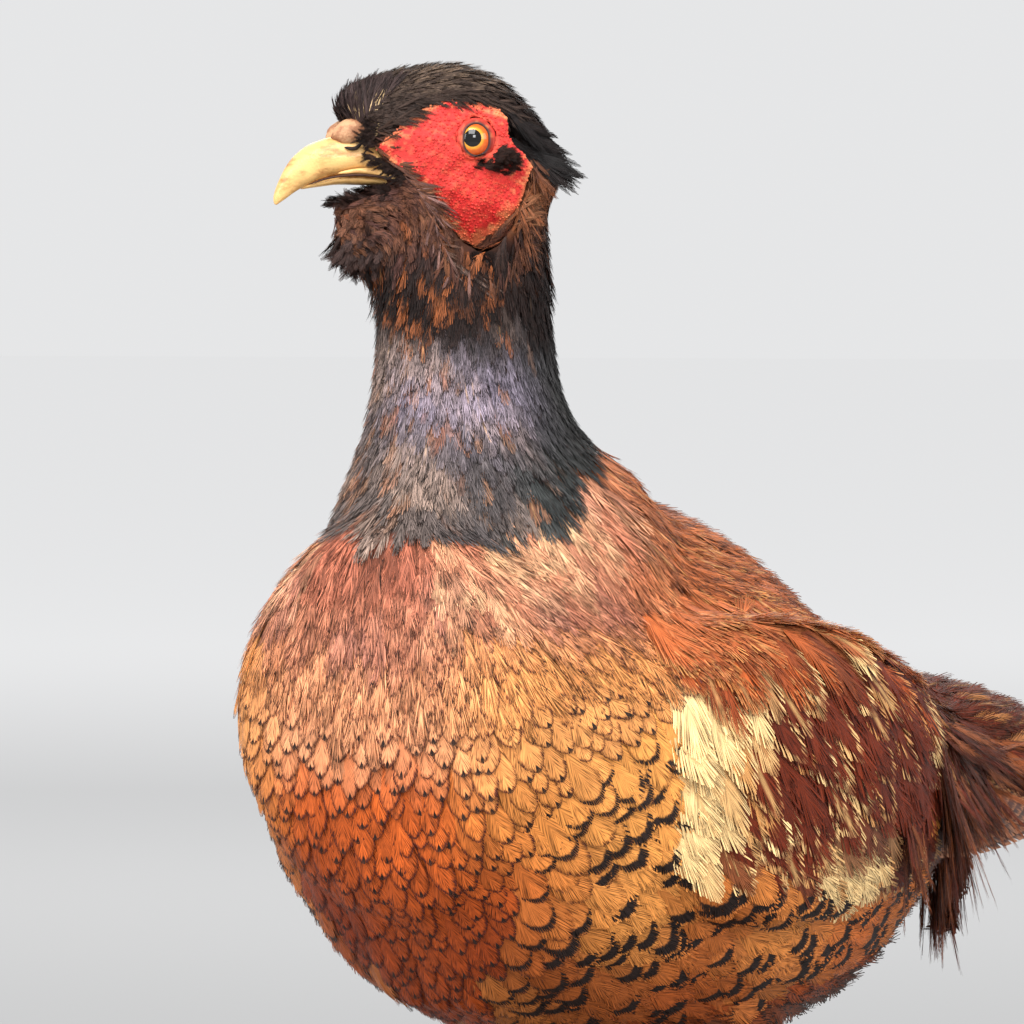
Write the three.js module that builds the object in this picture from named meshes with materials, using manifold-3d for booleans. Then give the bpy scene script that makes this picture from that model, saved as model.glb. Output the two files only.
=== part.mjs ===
// A cock common pheasant as a mounted museum specimen, standing on a plain wooden plinth.
// Units are millimetres, +Z is up, the bird faces -Y and its left side is +X.
// The origin is the middle of the plinth's underside.
// Every solid gives the outline out to the tips of the feathers.
import * as THREE from 'three';
import { mergeVertices } from 'three/addons/utils/BufferGeometryUtils.js';
import Module from 'manifold-3d';

const wasm = await Module();
wasm.setup();

// ---------------------------------------------------------------- driving dimensions

const GAP = 0.3; // clearance between solids that touch

const PLINTH = { length: 290, width: 200, height: 24, corner: 26, moulding: 7, step: 2.2 };

const HEAD = {
  centre: new THREE.Vector3(0, -66, 403), // midway between the eyes
  turn: 40, // degrees that the head looks to the bird's right
  eyeRadius: 6.1,
  eyeSideways: 11.9, // from the head's middle plane to the eyeball's centre
  wattleDepth: 1.8,
  cheekStart: 7, // how far out from the middle plane the bare skin begins
};

const THROAT = 370; // height at which the neck gives way to the head

const TAIL = {
  root: new THREE.Vector3(0, 176, 232),
  centreLength: 470, // the middle pair of feathers, from the root
  sideLength: 300, // the longest of the graduated side feathers
  droop: 8.5, // degrees below level
  rootHalfWidth: 25,
  tipHalfWidth: 9,
  thickness: 5,
  roof: 26, // degrees that each side slopes down from the ridge
};

const LEG = {
  hipSideways: 27,
  footSideways: 37,
  shankRadius: 4.2,
  toeRadius: 3.3,
  thighRadius: 21,
  clawLength: 10,
};

// How far each foot stands ahead of the plinth's middle, towards -Y.
const STANCE = { left: 14, right: -14 };

// ---------------------------------------------------------------- colours and finishes

const finish = (color, roughness, metalness = 0) =>
  new THREE.MeshStandardMaterial({ color, roughness, metalness });

const FINISH = {
  headFeather: finish(0x2b1f1a, 0.7),
  throatFeather: finish(0x4a2f20, 0.8),
  neckFeather: finish(0x4b4648, 0.55),
  breastFeather: finish(0xc8713c, 0.6),
  flankFeather: finish(0xc98238, 0.6),
  rumpFeather: finish(0x6b3220, 0.65),
  wingFeather: finish(0xb5824f, 0.6),
  flightFeather: finish(0x7d5a3c, 0.6),
  tailFeather: finish(0x94693f, 0.6),
  bellyFeather: finish(0x3d2417, 0.8),
  bareSkin: finish(0xc22b22, 0.75),
  horn: finish(0xd9b26a, 0.4),
  iris: finish(0xd8761a, 0.1),
  scaledSkin: finish(0x8c7f6c, 0.55),
  claw: finish(0x3b2f28, 0.4),
  stainedWood: finish(0x4a2c18, 0.35),
};

// ---------------------------------------------------------------- solids from geometry

/** A closed three.js geometry as a solid that can be joined and cut. */
function toSolid(geometry) {
  const bare = geometry.index ? geometry.toNonIndexed() : geometry.clone();
  bare.deleteAttribute('normal');
  bare.deleteAttribute('uv');
  const merged = mergeVertices(bare, 1e-4);
  return new wasm.Manifold(new wasm.Mesh({
    numProp: 3,
    vertProperties: merged.attributes.position.array,
    triVerts: new Uint32Array(merged.index.array),
  }));
}

/** A solid as a named three.js mesh with its finish. */
function toMesh(name, solid, material) {
  const { vertProperties, triVerts, numProp } = solid.getMesh();
  const count = vertProperties.length / numProp;
  const position = new Float32Array(count * 3);
  for (let i = 0; i < count; i++) {
    position.set(vertProperties.subarray(i * numProp, i * numProp + 3), i * 3);
  }
  const geometry = new THREE.BufferGeometry()
    .setAttribute('position', new THREE.BufferAttribute(position, 3))
    .setIndex(new THREE.BufferAttribute(triVerts, 1));
  geometry.computeVertexNormals();
  const mesh = new THREE.Mesh(geometry, material);
  mesh.name = name;
  return mesh;
}

/** An ellipsoid at a point, its half-sizes along X, Y and Z, turned by an optional quaternion. */
function ellipsoid(centre, half, turn = new THREE.Quaternion(), segments = 8) {
  const matrix = new THREE.Matrix4().compose(centre, turn, half);
  return toSolid(new THREE.SphereGeometry(1, segments, segments / 2).applyMatrix4(matrix));
}

/**
 * A swept body whose oval section changes along a curve, closed at both ends.
 * Each station is [x, y, z, side, over, under]: the centre, the half-width towards `side`,
 * and the half-heights on either side of it. `rounding` is the share of the length at each
 * end over which the section shrinks away like a sphere's, and `grow` fattens every section.
 * `squareness` bends the oval, 2 being an ellipse, and `crown` does so for its upper half alone.
 */
function sweptBody(stations, {
  side = new THREE.Vector3(1, 0, 0), steps = 20, around = 24,
  rounding = [0, 0], grow = 0, squareness = 2, crown = squareness,
} = {}) {
  const path = new THREE.CatmullRomCurve3(stations.map(([x, y, z]) => new THREE.Vector3(x, y, z)));
  const girth = new THREE.CatmullRomCurve3(stations.map(([, , , a, b, c]) => new THREE.Vector3(a, b, c)));
  const position = [];
  const index = [];
  for (let i = 0; i <= steps; i++) {
    const t = (1 - Math.cos(Math.PI * i / steps)) / 2;
    const centre = path.getPoint(t);
    const along = path.getTangent(t);
    const over = new THREE.Vector3().crossVectors(side, along).normalize();
    const across = new THREE.Vector3().crossVectors(along, over).normalize();
    const size = girth.getPoint(t);
    const taper = endTaper(t, rounding[0]) * endTaper(1 - t, rounding[1]);
    for (let k = 0; k < around; k++) {
      const angle = 2 * Math.PI * k / around;
      const [height, bend] = Math.sin(angle) > 0 ? [size.y, crown] : [size.z, squareness];
      const x = superCosine(Math.cos(angle), bend) * Math.max(size.x * taper + grow, 0.02);
      const y = superCosine(Math.sin(angle), bend) * Math.max(height * taper + grow, 0.02);
      const point = centre.clone().addScaledVector(across, x).addScaledVector(over, y);
      position.push(...point);
    }
  }
  for (let i = 0; i < steps; i++) {
    for (let k = 0; k < around; k++) {
      const a = i * around + k;
      const b = i * around + (k + 1) % around;
      index.push(a, b, a + around, b, b + around, a + around);
    }
  }
  const start = path.getPoint(0).addScaledVector(path.getTangent(0), -grow);
  const end = path.getPoint(1).addScaledVector(path.getTangent(1), grow);
  closeEnd(position, index, start, 0, around, true);
  closeEnd(position, index, end, steps * around, around, false);
  const geometry = new THREE.BufferGeometry()
    .setAttribute('position', new THREE.Float32BufferAttribute(position, 3))
    .setIndex(index);
  const solid = toSolid(geometry);
  return solid.volume() < 0 ? toSolid(flipped(geometry)) : solid;
}

/** The share of full size at distance t from an end that is rounded over `length`. */
function endTaper(t, length) {
  if (t >= length) return 1;
  return Math.sqrt(Math.max(1 - (1 - t / length) ** 2, 1e-4));
}

/** A cosine or sine bent towards a squarer oval; 2 is an ellipse. */
function superCosine(value, squareness) {
  return Math.sign(value) * Math.abs(value) ** (2 / squareness);
}

/** Adds a fan of triangles from a ring to a point. */
function closeEnd(position, index, tip, first, around, reversed) {
  const middle = position.length / 3;
  position.push(...tip);
  for (let k = 0; k < around; k++) {
    const a = first + k;
    const b = first + (k + 1) % around;
    index.push(...(reversed ? [middle, b, a] : [middle, a, b]));
  }
}

/** The same geometry with every face turned round. */
function flipped(geometry) {
  const turned = geometry.clone();
  const corners = turned.index.array;
  for (let i = 0; i < corners.length; i += 3) {
    [corners[i + 1], corners[i + 2]] = [corners[i + 2], corners[i + 1]];
  }
  return turned;
}

/** Parts a solid at a plane through `point`, and returns [the side the normal points to, the rest]. */
function part(solid, point, normal) {
  const n = normal.clone().normalize();
  const offset = point.dot(n);
  return [
    solid.trimByPlane(n.toArray(), offset + GAP / 2),
    solid.trimByPlane(n.clone().negate().toArray(), -offset + GAP / 2),
  ];
}

/** The largest of the separate bodies of a solid, which drops slivers left by a cut. */
function mainBody(solid) {
  return solid.decompose().reduce((a, b) => (a.volume() > b.volume() ? a : b));
}

const degrees = THREE.MathUtils.degToRad;

// ---------------------------------------------------------------- trunk and neck

/** The egg-shaped trunk, from the front of the breast to the root of the tail. */
function trunkSolid(grow = 0) {
  return sweptBody([
    // x, y, z, half-width, half-height above and below
    [0, -116, 250, 49, 50, 50],
    [0, -96, 250, 53, 56, 56],
    [0, -77, 248, 63, 64, 67],
    [0, -48, 240, 70, 71, 80],
    [0, -10, 230, 75, 81, 82],
    [0, 30, 222, 75, 71, 79],
    [0, 70, 217, 67, 57, 72],
    [0, 110, 216, 51, 44, 50],
    [0, 150, 222, 37, 29, 25],
    [0, 190, 229, 26, 16, 15],
  ], { steps: 16, around: 18, rounding: [0.075, 0.05], grow, crown: 1.8 });
}

/** The neck, flaring into the shoulders below and running up into the head. */
function neckSolid() {
  return sweptBody([
    // x, y, z, half-width, half-depth to the front and to the back
    [0, -50, 270, 58, 56, 52],
    [0, -54, 292, 52, 56, 49],
    [0, -60, 309, 38, 41, 40],
    [0, -63, 326, 28.5, 29.5, 29.5],
    [0, -64, 346, 24.8, 25, 25.5],
    [0, -65, 372, 23.5, 24.5, 25],
    [0, -66, 396, 19, 20, 20],
  ], { steps: 12, around: 16 });
}

// ---------------------------------------------------------------- head, in its own frame

// Points of the head are [ahead of the eyes, to the left, above the eyes].
const headTurn = new THREE.Quaternion()
  .setFromAxisAngle(new THREE.Vector3(0, 0, 1), degrees(-HEAD.turn));
const headPoint = (ahead, left, up) =>
  new THREE.Vector3(left, -ahead, up).applyQuaternion(headTurn).add(HEAD.centre);
const headSide = new THREE.Vector3(1, 0, 0).applyQuaternion(headTurn);

/** A swept body along the head, with stations [ahead, above, half-width, over, under]. */
function headSweep(stations, options) {
  return sweptBody(
    stations.map(([ahead, up, ...sizes]) => [...headPoint(ahead, 0, up), ...sizes]),
    { side: headSide, ...options },
  );
}

/** An ellipsoid in the head's frame; half-sizes are lengthwise, sideways and upright. */
function headEllipsoid(ahead, left, up, half, segments = 8) {
  return ellipsoid(
    headPoint(ahead, left, up),
    new THREE.Vector3(half[1], half[0], half[2]),
    headTurn,
    segments,
  );
}

/** Skull and cheeks with their feathers, without the tufts. */
function cheekSolid(grow = 0) {
  return headSweep([
    // ahead, above, half-width, over, under
    [33, 0, 8, 6.5, 8],
    [26, 1, 11, 15, 14],
    [14, 0, 15, 20.5, 20],
    [2, -3, 17.5, 24, 25],
    [-10, -6, 17, 20, 25],
    [-20, -11, 14, 11.5, 18],
    [-27, -15, 9.5, 6, 9],
  ], { steps: 9, around: 12, rounding: [0.16, 0.16], grow });
}

/** The whole feathered head with its tufts, before anything is cut from it. */
function skullSolid(grow = 0) {
  const forehead = headEllipsoid(24, 0, 9, [11 + grow, 10 + grow, 8 + grow]);
  const chin = headEllipsoid(26.5, 0, -20, [11 + grow, 8.5 + grow, 7 + grow]);
  const throat = headEllipsoid(24, 0, -30, [13 + grow, 10 + grow, 8 + grow]);
  return cheekSolid(grow).add(forehead).add(chin).add(throat);
}

/** The hooked upper half of the bill. */
function upperBillSolid(grow = 0) {
  return headSweep([
    [23, -4.6, 8.2, 6, 6.6],
    [31, -4, 8, 6.6, 6.8],
    [37, -5.2, 6.8, 6.1, 6.2],
    [42, -8.6, 5.2, 4.3, 4.5],
    [46, -11.6, 3.9, 3.4, 3.4],
    [49, -14.6, 2.5, 2.5, 2.4],
    [51.4, -18.2, 0.8, 0.8, 0.8],
  ], { steps: 8, around: 12, grow, squareness: 2.2 });
}

/** The flat lower half of the bill, before the upper half is cut from it. */
function lowerBillSolid(grow = 0) {
  return headSweep([
    [20, -12.8, 7.4, 3, 2.6],
    [28, -12.6, 6.8, 3, 2.4],
    [36, -12.9, 5.2, 2.4, 2],
    [42.5, -14, 2, 1.2, 1.1],
  ], { steps: 5, around: 10, grow });
}

/** A prism that holds one cheek's bare skin, from the outline seen from the side. */
function cheekPrism(hand, grow = 0) {
  const edge = [
    // ahead of the eyes, above the eyes
    [26, -4], [20, 3], [13, 8], [3, 10.5], [-6, 8.5], [-13, 1], [-16.5, -7], [-14, -16],
    [-7, -25], [-1, -29.5], [6, -24], [12, -15], [19, -9.5],
  ];
  const middle = edge.reduce((sum, [a, b]) => [sum[0] + a / edge.length, sum[1] + b / edge.length], [0, 0]);
  const grown = edge.map(([a, b]) => {
    const out = new THREE.Vector2(a - middle[0], b - middle[1]);
    const far = out.clone().setLength(out.length() + grow);
    return new THREE.Vector2(middle[0] + far.x, middle[1] + far.y);
  });
  const smooth = new THREE.Shape(new THREE.SplineCurve([...grown, grown[0]]).getPoints(17).slice(0, -1));
  const depth = 30;
  const geometry = new THREE.ExtrudeGeometry(smooth, { depth, bevelEnabled: false });
  // The outline's x runs ahead and its y runs up; the prism's depth then runs to the bird's side.
  const ahead = new THREE.Vector3(0, -1, 0).applyQuaternion(headTurn);
  const outwards = headSide.clone().multiplyScalar(hand);
  const frame = new THREE.Matrix4().makeBasis(ahead, new THREE.Vector3(0, 0, 1), outwards);
  frame.setPosition(HEAD.centre.clone().addScaledVector(outwards, HEAD.cheekStart - grow));
  const solid = toSolid(geometry.applyMatrix4(frame));
  return solid.volume() < 0 ? toSolid(flipped(indexed(geometry))) : solid;
}

/** The geometry with an index, which the turning of faces needs. */
function indexed(geometry) {
  const bare = geometry.clone();
  bare.deleteAttribute('normal');
  bare.deleteAttribute('uv');
  return mergeVertices(bare, 1e-4);
}

/** An eyeball, grown for the socket that it sits in. */
function eyeSolid(hand, grow = 0) {
  const radius = HEAD.eyeRadius + grow;
  return headEllipsoid(0, hand * HEAD.eyeSideways, 0, [radius, radius, radius], 12);
}

/** The long dark feathers that stand out behind each ear. */
function earTuftSolid(hand, grow = 0) {
  const stations = [
    // ahead, left, above, half-width, over, under
    [-8, 12, 5, 3, 4, 4],
    [-15, 13.5, -0.5, 3.6, 4.4, 4.4],
    [-21.5, 14, -6.5, 3.4, 4, 4],
    [-27, 14.5, -12.5, 1.8, 2, 2],
  ];
  return sweptBody(
    stations.map(([ahead, left, up, ...sizes]) => [...headPoint(ahead, hand * left, up), ...sizes]),
    { side: headSide, steps: 6, around: 10, rounding: [0.3, 0.3], grow },
  );
}

/** Every node of the head. */
function buildHead() {
  const core = skullSolid();
  const lower = lowerBillSolid().subtract(upperBillSolid(GAP));
  let flesh = core.add(neckSolid().trimByPlane([0, 0, 1], THROAT + GAP / 2))
    .subtract(upperBillSolid(GAP)).subtract(lowerBillSolid(GAP));
  const nodes = [
    toMesh('bill_upper', upperBillSolid(), FINISH.horn),
    toMesh('bill_lower', mainBody(lower), FINISH.horn),
  ];
  const inner = cheekSolid(-HEAD.wattleDepth);
  const innerRoom = cheekSolid(-HEAD.wattleDepth - GAP);
  for (const [name, hand] of Object.entries({ left: 1, right: -1 })) {
    const socket = eyeSolid(hand, GAP);
    const tuftRoom = earTuftSolid(hand, GAP);
    const wattle = cheekPrism(hand).intersect(core).subtract(inner).subtract(socket)
      .subtract(upperBillSolid(2 * GAP)).subtract(tuftRoom);
    flesh = flesh.subtract(cheekPrism(hand, GAP).subtract(innerRoom))
      .subtract(socket).subtract(tuftRoom);
    nodes.push(
      toMesh(`wattle_${name}`, mainBody(wattle), FINISH.bareSkin),
      toMesh(`eye_${name}`, eyeSolid(hand), FINISH.iris),
      toMesh(`ear_tuft_${name}`, earTuftSolid(hand), FINISH.headFeather),
    );
  }
  nodes.push(toMesh('head', mainBody(flesh), FINISH.headFeather));
  return nodes;
}

// ---------------------------------------------------------------- wings

/** The folded wing from wrist to secondaries, before the trunk is cut from it. */
function wingSolid(hand, grow = 0) {
  return sweptBody([
    // x, y, z, half-thickness, half-height above and below
    [hand * 60, -66, 240, 9, 20, 26],
    [hand * 66, -44, 240, 12, 36, 46],
    [hand * 70, -8, 234, 12, 41, 46],
    [hand * 68, 34, 228, 12, 37, 38],
    [hand * 59, 74, 222, 11, 29, 28],
    [hand * 47, 112, 220, 9, 20, 19],
    [hand * 37, 146, 218, 7, 12, 12],
  ], { steps: 11, around: 14, rounding: [0.12, 0.05], grow });
}

/** The tips of the long flight feathers, which lie along the root of the tail. */
function wingTipSolid(hand, grow = 0) {
  return sweptBody([
    [hand * 46, 116, 215, 5, 13, 13],
    [hand * 41, 146, 211, 4.6, 11, 11],
    [hand * 36, 172, 208, 4, 8, 8],
    [hand * 31, 196, 206, 2.6, 3.6, 3.6],
  ], { steps: 6, around: 8, rounding: [0.1, 0.2], grow });
}

// ---------------------------------------------------------------- tail

/** A point of the tail: `along` from its root, `across` to the left and `over` its ridge line. */
function tailPoint(along, across, over) {
  const droop = degrees(TAIL.droop);
  return TAIL.root.clone().add(new THREE.Vector3(
    across,
    along * Math.cos(droop) + over * Math.sin(droop),
    -along * Math.sin(droop) + over * Math.cos(droop),
  ));
}

/**
 * A blade of overlapping tail feathers. Each station is [along, inner edge, outer edge] and
 * the blade slopes down to its outer edge like one side of a roof.
 */
function tailBlade(stations, hand, lift, thickness, grow) {
  const slope = Math.tan(degrees(TAIL.roof));
  const position = [];
  const index = [];
  stations.forEach(([along, inner, outer], i) => {
    const stretch = { 0: -grow, [stations.length - 1]: grow }[i] ?? 0;
    for (const across of [inner - grow, outer + grow]) {
      const top = lift + grow - across * slope;
      position.push(...tailPoint(along + stretch, hand * across, top));
      position.push(...tailPoint(along + stretch, hand * across, top - thickness - 2 * grow));
    }
  });
  const ring = [0, 2, 3, 1];
  const last = (stations.length - 1) * 4;
  for (let i = 0; i < stations.length - 1; i++) {
    for (let k = 0; k < 4; k++) {
      const a = i * 4 + ring[k];
      const b = i * 4 + ring[(k + 1) % 4];
      index.push(a, a + 4, b, b, a + 4, b + 4);
    }
  }
  index.push(0, 2, 1, 1, 2, 3, last, last + 1, last + 2, last + 1, last + 3, last + 2);
  const geometry = new THREE.BufferGeometry()
    .setAttribute('position', new THREE.Float32BufferAttribute(position, 3))
    .setIndex(index);
  const solid = toSolid(geometry);
  return solid.volume() < 0 ? toSolid(flipped(geometry)) : solid;
}

/** The long middle pair of feathers as one ridged blade with a pointed end. */
function tailCentreSolid(grow = 0) {
  const { centreLength: length, rootHalfWidth: root, tipHalfWidth: tip, thickness } = TAIL;
  const overlap = 0.4;
  const stations = [
    [0, -overlap, root * 0.8],
    [length * 0.3, -overlap, root * 0.95],
    [length * 0.6, -overlap, root * 0.8],
    [length * 0.85, -overlap, tip * 1.5],
    [length * 0.96, -overlap, tip * 0.85],
    [length, -overlap, tip * 0.2],
  ];
  return tailBlade(stations, 1, thickness, thickness, grow)
    .add(tailBlade(stations, -1, thickness, thickness, grow));
}

/** One side's graduated feathers, each step shorter and further out than the last. */
function tailSideSolid(hand, grow = 0) {
  const { sideLength: length, rootHalfWidth: root, thickness } = TAIL;
  const stations = [
    [0, 2, root],
    [length * 0.3, 2, root * 1.5],
    [length * 0.55, 2, root * 1.4],
    [length * 0.8, 2, root * 1.1],
    [length, 2, root * 0.7],
  ];
  return tailBlade(stations, hand, -GAP, thickness * 0.8, grow);
}

/** The loose feathers of the rump that lie over the root of the tail and hang beside it. */
function tailCovertSolid(grow = 0) {
  const mass = sweptBody([
    [0, 138, 228, 42, 24, 30],
    [0, 182, 222, 38, 23, 31],
    [0, 216, 217, 32, 19, 20],
    [0, 258, 209, 22, 14, 14],
    [0, 300, 201, 9, 7, 8],
  ], { steps: 8, around: 12, rounding: [0.1, 0.3], grow });
  const hanging = (hand) => sweptBody([
    [hand * 28, 152, 228, 5, 12, 12],
    [hand * 31, 147, 208, 5, 12, 12],
    [hand * 32, 143, 190, 4.5, 10, 10],
    [hand * 31, 140, 172, 2.5, 4, 4],
  ], { steps: 5, around: 6, rounding: [0.2, 0.3], grow });
  return mass.add(hanging(1)).add(hanging(-1));
}

// ---------------------------------------------------------------- legs

/** The joints of one leg, from the hip down to the ball of the foot. */
function legJoints(name, hand) {
  const back = -STANCE[name];
  const deck = PLINTH.height + GAP;
  return {
    hip: new THREE.Vector3(hand * LEG.hipSideways, 20 + back * 0.25, 178),
    hock: new THREE.Vector3(hand * 34, 34 + back * 0.75, 101),
    ball: new THREE.Vector3(hand * LEG.footSideways, 6 + back, deck + 8),
  };
}

/** The feathered thigh and shin, which end in a narrow cuff at the hock. */
function thighSolid({ hip, hock }) {
  const middle = hip.clone().lerp(hock, 0.5).add(new THREE.Vector3(0, -5, 0));
  return sweptBody([
    [...hip, LEG.thighRadius, 26, 26],
    [...middle, 17, 22, 20],
    [...middle.clone().lerp(hock, 0.75), 9, 12, 11],
    [...hock, 5.6, 7, 7],
  ], { steps: 7, around: 12 });
}

/** The bare scaled shank, from the hock to just above the foot. */
function shankSolid({ hock, ball }) {
  const top = hock.clone().lerp(ball, 0.015);
  const ankle = hock.clone().lerp(ball, 0.88);
  return sweptBody([
    [...top, 4.8, 6, 6],
    [...hock.clone().lerp(ball, 0.18), LEG.shankRadius, 4.8, 4.8],
    [...hock.clone().lerp(ball, 0.6), 3.6, 4.2, 4.2],
    [...ankle, 4.4, 4.8, 4.8],
  ], { steps: 6, around: 8 });
}

/** One toe with its claw. */
function toeSolids(ball, hand, angle, length, clawLength) {
  const heading = degrees(angle) * hand;
  const ahead = new THREE.Vector3(Math.sin(heading), -Math.cos(heading), 0);
  const across = new THREE.Vector3(Math.cos(heading), Math.sin(heading), 0);
  const deck = PLINTH.height + GAP;
  const at = (distance, height) =>
    [...ball.clone().setZ(deck + height).addScaledVector(ahead, distance)];
  const r = LEG.toeRadius;
  const toe = sweptBody([
    [...at(0, r + 2.2), r, r, r],
    [...at(length * 0.35, r + 0.9), r * 0.95, r, r],
    [...at(length * 0.7, r + 0.2), r * 0.9, r * 0.9, r * 0.95],
    [...at(length, r * 0.85), r * 0.65, r * 0.65, r * 0.7],
  ], { side: across, steps: 3, around: 8 });
  const claw = sweptBody([
    [...at(length + GAP, r * 0.85), 1.6, 1.8, 1.7],
    [...at(length + clawLength * 0.5, r * 0.9), 1.2, 1.4, 1.3],
    [...at(length + clawLength, r * 0.35), 0.4, 0.45, 0.4],
  ], { side: across, steps: 3, around: 6 });
  return { toe, claw };
}

/** The blunt spur on the back of the shank. */
function spurSolid({ hock, ball }, hand) {
  const root = hock.clone().lerp(ball, 0.62);
  const station = (x, y, z, radius) =>
    [...root.clone().add(new THREE.Vector3(-hand * x, y, z)), radius, radius, radius];
  return sweptBody([
    station(1, 2, 0, 3),
    station(2.5, 7.5, -0.5, 2.1),
    station(3.5, 13, 1.5, 0.5),
  ], { steps: 4, around: 6 });
}

/** Every node of one leg: feathered thigh, scaled shank, foot, claws and spur. */
function buildLeg(name, hand, trunkRoom) {
  const joints = legJoints(name, hand);
  const { hock, ball } = joints;
  const deck = PLINTH.height + GAP;
  const shin = ball.clone().sub(hock).normalize();
  const [, thigh] = part(thighSolid(joints).subtract(trunkRoom), hock, shin);
  const [shank] = part(shankSolid(joints), hock, shin);
  const ankle = deck + 13;
  const toes = [
    // name, degrees outwards from straight ahead, length, claw
    ['inner', -26, 33, LEG.clawLength],
    ['middle', 2, 44, LEG.clawLength],
    ['outer', 28, 35, LEG.clawLength],
    ['hind', 172, 15, LEG.clawLength * 0.6],
  ];
  let foot = ellipsoid(ball.clone().setZ(deck + 7), new THREE.Vector3(6.5, 7.5, 8.5));
  const claws = [];
  for (const [toeName, angle, length, clawLength] of toes) {
    const { toe, claw } = toeSolids(ball, hand, angle, length, clawLength);
    foot = foot.add(toe);
    claws.push(toMesh(`claw_${name}_${toeName}`, claw.trimByPlane([0, 0, 1], deck), FINISH.claw));
  }
  // A flat sole below, and a flat seat for the shank above.
  foot = foot.trimByPlane([0, 0, 1], deck).trimByPlane([0, 0, -1], -ankle);
  const shankRoom = sweptRoom(joints);
  return [
    toMesh(`thigh_${name}`, mainBody(thigh), FINISH.bellyFeather),
    toMesh(`shank_${name}`, mainBody(shank.trimByPlane([0, 0, 1], ankle + GAP)), FINISH.scaledSkin),
    toMesh(`foot_${name}`, mainBody(foot), FINISH.scaledSkin),
    toMesh(`spur_${name}`, mainBody(spurSolid(joints, hand).subtract(shankRoom)), FINISH.claw),
    ...claws,
  ];
}

/** The room that the spur leaves for the shank. */
function sweptRoom({ hock, ball }) {
  return sweptBody([
    [...hock, 5.2, 6.4, 6.4],
    [...hock.clone().lerp(ball, 0.4), 4.3, 4.9, 4.9],
    [...hock.clone().lerp(ball, 0.9), 4.6, 5.2, 5.2],
  ], { steps: 4, around: 10 });
}

// ---------------------------------------------------------------- plinth

/** The wooden plinth: a board with rounded corners and a rounded upper edge above a small step. */
function plinthMesh() {
  const foot = plinthBoard(0, PLINTH.height - PLINTH.moulding - PLINTH.step);
  const top = plinthBoard(PLINTH.step, PLINTH.height - PLINTH.moulding, PLINTH.moulding);
  return toMesh('stand_base', foot.add(top).trimByPlane([0, 0, 1], 0), FINISH.stainedWood);
}

/** A board with rounded corners, set in from the plinth's edge, its upper edge rounded. */
function plinthBoard(inset, height, edge = 0) {
  const x = PLINTH.width / 2 - inset - edge;
  const y = PLINTH.length / 2 - inset - edge;
  const r = PLINTH.corner - inset - edge;
  const outline = new THREE.Shape();
  outline.moveTo(-x + r, -y);
  outline.absarc(x - r, -y + r, r, -Math.PI / 2, 0);
  outline.absarc(x - r, y - r, r, 0, Math.PI / 2);
  outline.absarc(-x + r, y - r, r, Math.PI / 2, Math.PI);
  outline.absarc(-x + r, -y + r, r, Math.PI, 1.5 * Math.PI);
  return toSolid(new THREE.ExtrudeGeometry(outline, {
    depth: height,
    curveSegments: 3,
    bevelEnabled: edge > 0,
    bevelSize: edge,
    bevelThickness: edge,
    bevelSegments: 3,
  }));
}

// ---------------------------------------------------------------- assembly

/** Parts the trunk and neck into nodes with thin cuts, and leaves room for what lies in them. */
function buildTorso(rooms) {
  let body = trunkSolid().add(neckSolid());
  for (const room of rooms) body = body.subtract(room);
  const up = new THREE.Vector3(0, 0, 1);
  const back = new THREE.Vector3(0, 1, 0);
  const shoulderTilt = new THREE.Vector3(0, -Math.sin(degrees(14)), Math.cos(degrees(14)));

  const [neck, trunk] = part(body, new THREE.Vector3(0, -60, 299), shoulderTilt);
  const [, throat] = part(neck, new THREE.Vector3(0, -66, THROAT), up);
  const [upperNeck, lowerNeck] = part(throat, new THREE.Vector3(0, -64, 336), up);
  const [behindBreast, breast] = part(trunk, new THREE.Vector3(0, -48, 0), back);
  const [rump, middle] = part(behindBreast, new THREE.Vector3(0, 84, 0), back);
  return [
    toMesh('neck_upper', mainBody(upperNeck.subtract(skullSolid(GAP))), FINISH.throatFeather),
    toMesh('neck_lower', mainBody(lowerNeck), FINISH.neckFeather),
    toMesh('breast', mainBody(breast), FINISH.breastFeather),
    toMesh('trunk', mainBody(middle), FINISH.flankFeather),
    toMesh('rump', mainBody(rump), FINISH.rumpFeather),
  ];
}

const hands = { left: 1, right: -1 };
const trunkRoom = trunkSolid(GAP);
const covertRoom = tailCovertSolid(GAP);
const tailRoom = tailCentreSolid(GAP).add(tailSideSolid(1, GAP)).add(tailSideSolid(-1, GAP));

const pheasant = new THREE.Group();
pheasant.add(
  ...buildHead(),
  ...buildTorso([tailRoom, covertRoom]),
  plinthMesh(),
  toMesh('tail_coverts', mainBody(tailCovertSolid().subtract(tailRoom)), FINISH.rumpFeather),
  toMesh('tail_centre', tailCentreSolid(), FINISH.tailFeather),
);
for (const [name, hand] of Object.entries(hands)) {
  const rooms = [trunkRoom, covertRoom, tailRoom];
  const cleared = (solid) => mainBody(rooms.reduce((rest, room) => rest.subtract(room), solid));
  const wing = wingSolid(hand).subtract(wingTipSolid(hand, GAP));
  const tailSide = tailSideSolid(hand).subtract(tailCentreSolid(GAP));
  pheasant.add(
    toMesh(`tail_${name}`, mainBody(tailSide), FINISH.tailFeather),
    toMesh(`wing_${name}`, cleared(wing), FINISH.wingFeather),
    toMesh(`wing_tip_${name}`, cleared(wingTipSolid(hand)), FINISH.flightFeather),
    ...buildLeg(name, hand, trunkRoom),
  );
}

export default pheasant;
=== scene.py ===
"""Dresses the solids of a mounted cock pheasant in skin, feathers, horn and glass, and lights it."""

import logging
import math
from dataclasses import dataclass, field
from enum import Enum

import bmesh
import bpy
import numpy as np
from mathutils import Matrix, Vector
from mathutils.bvhtree import BVHTree
from mathutils.kdtree import KDTree


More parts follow.
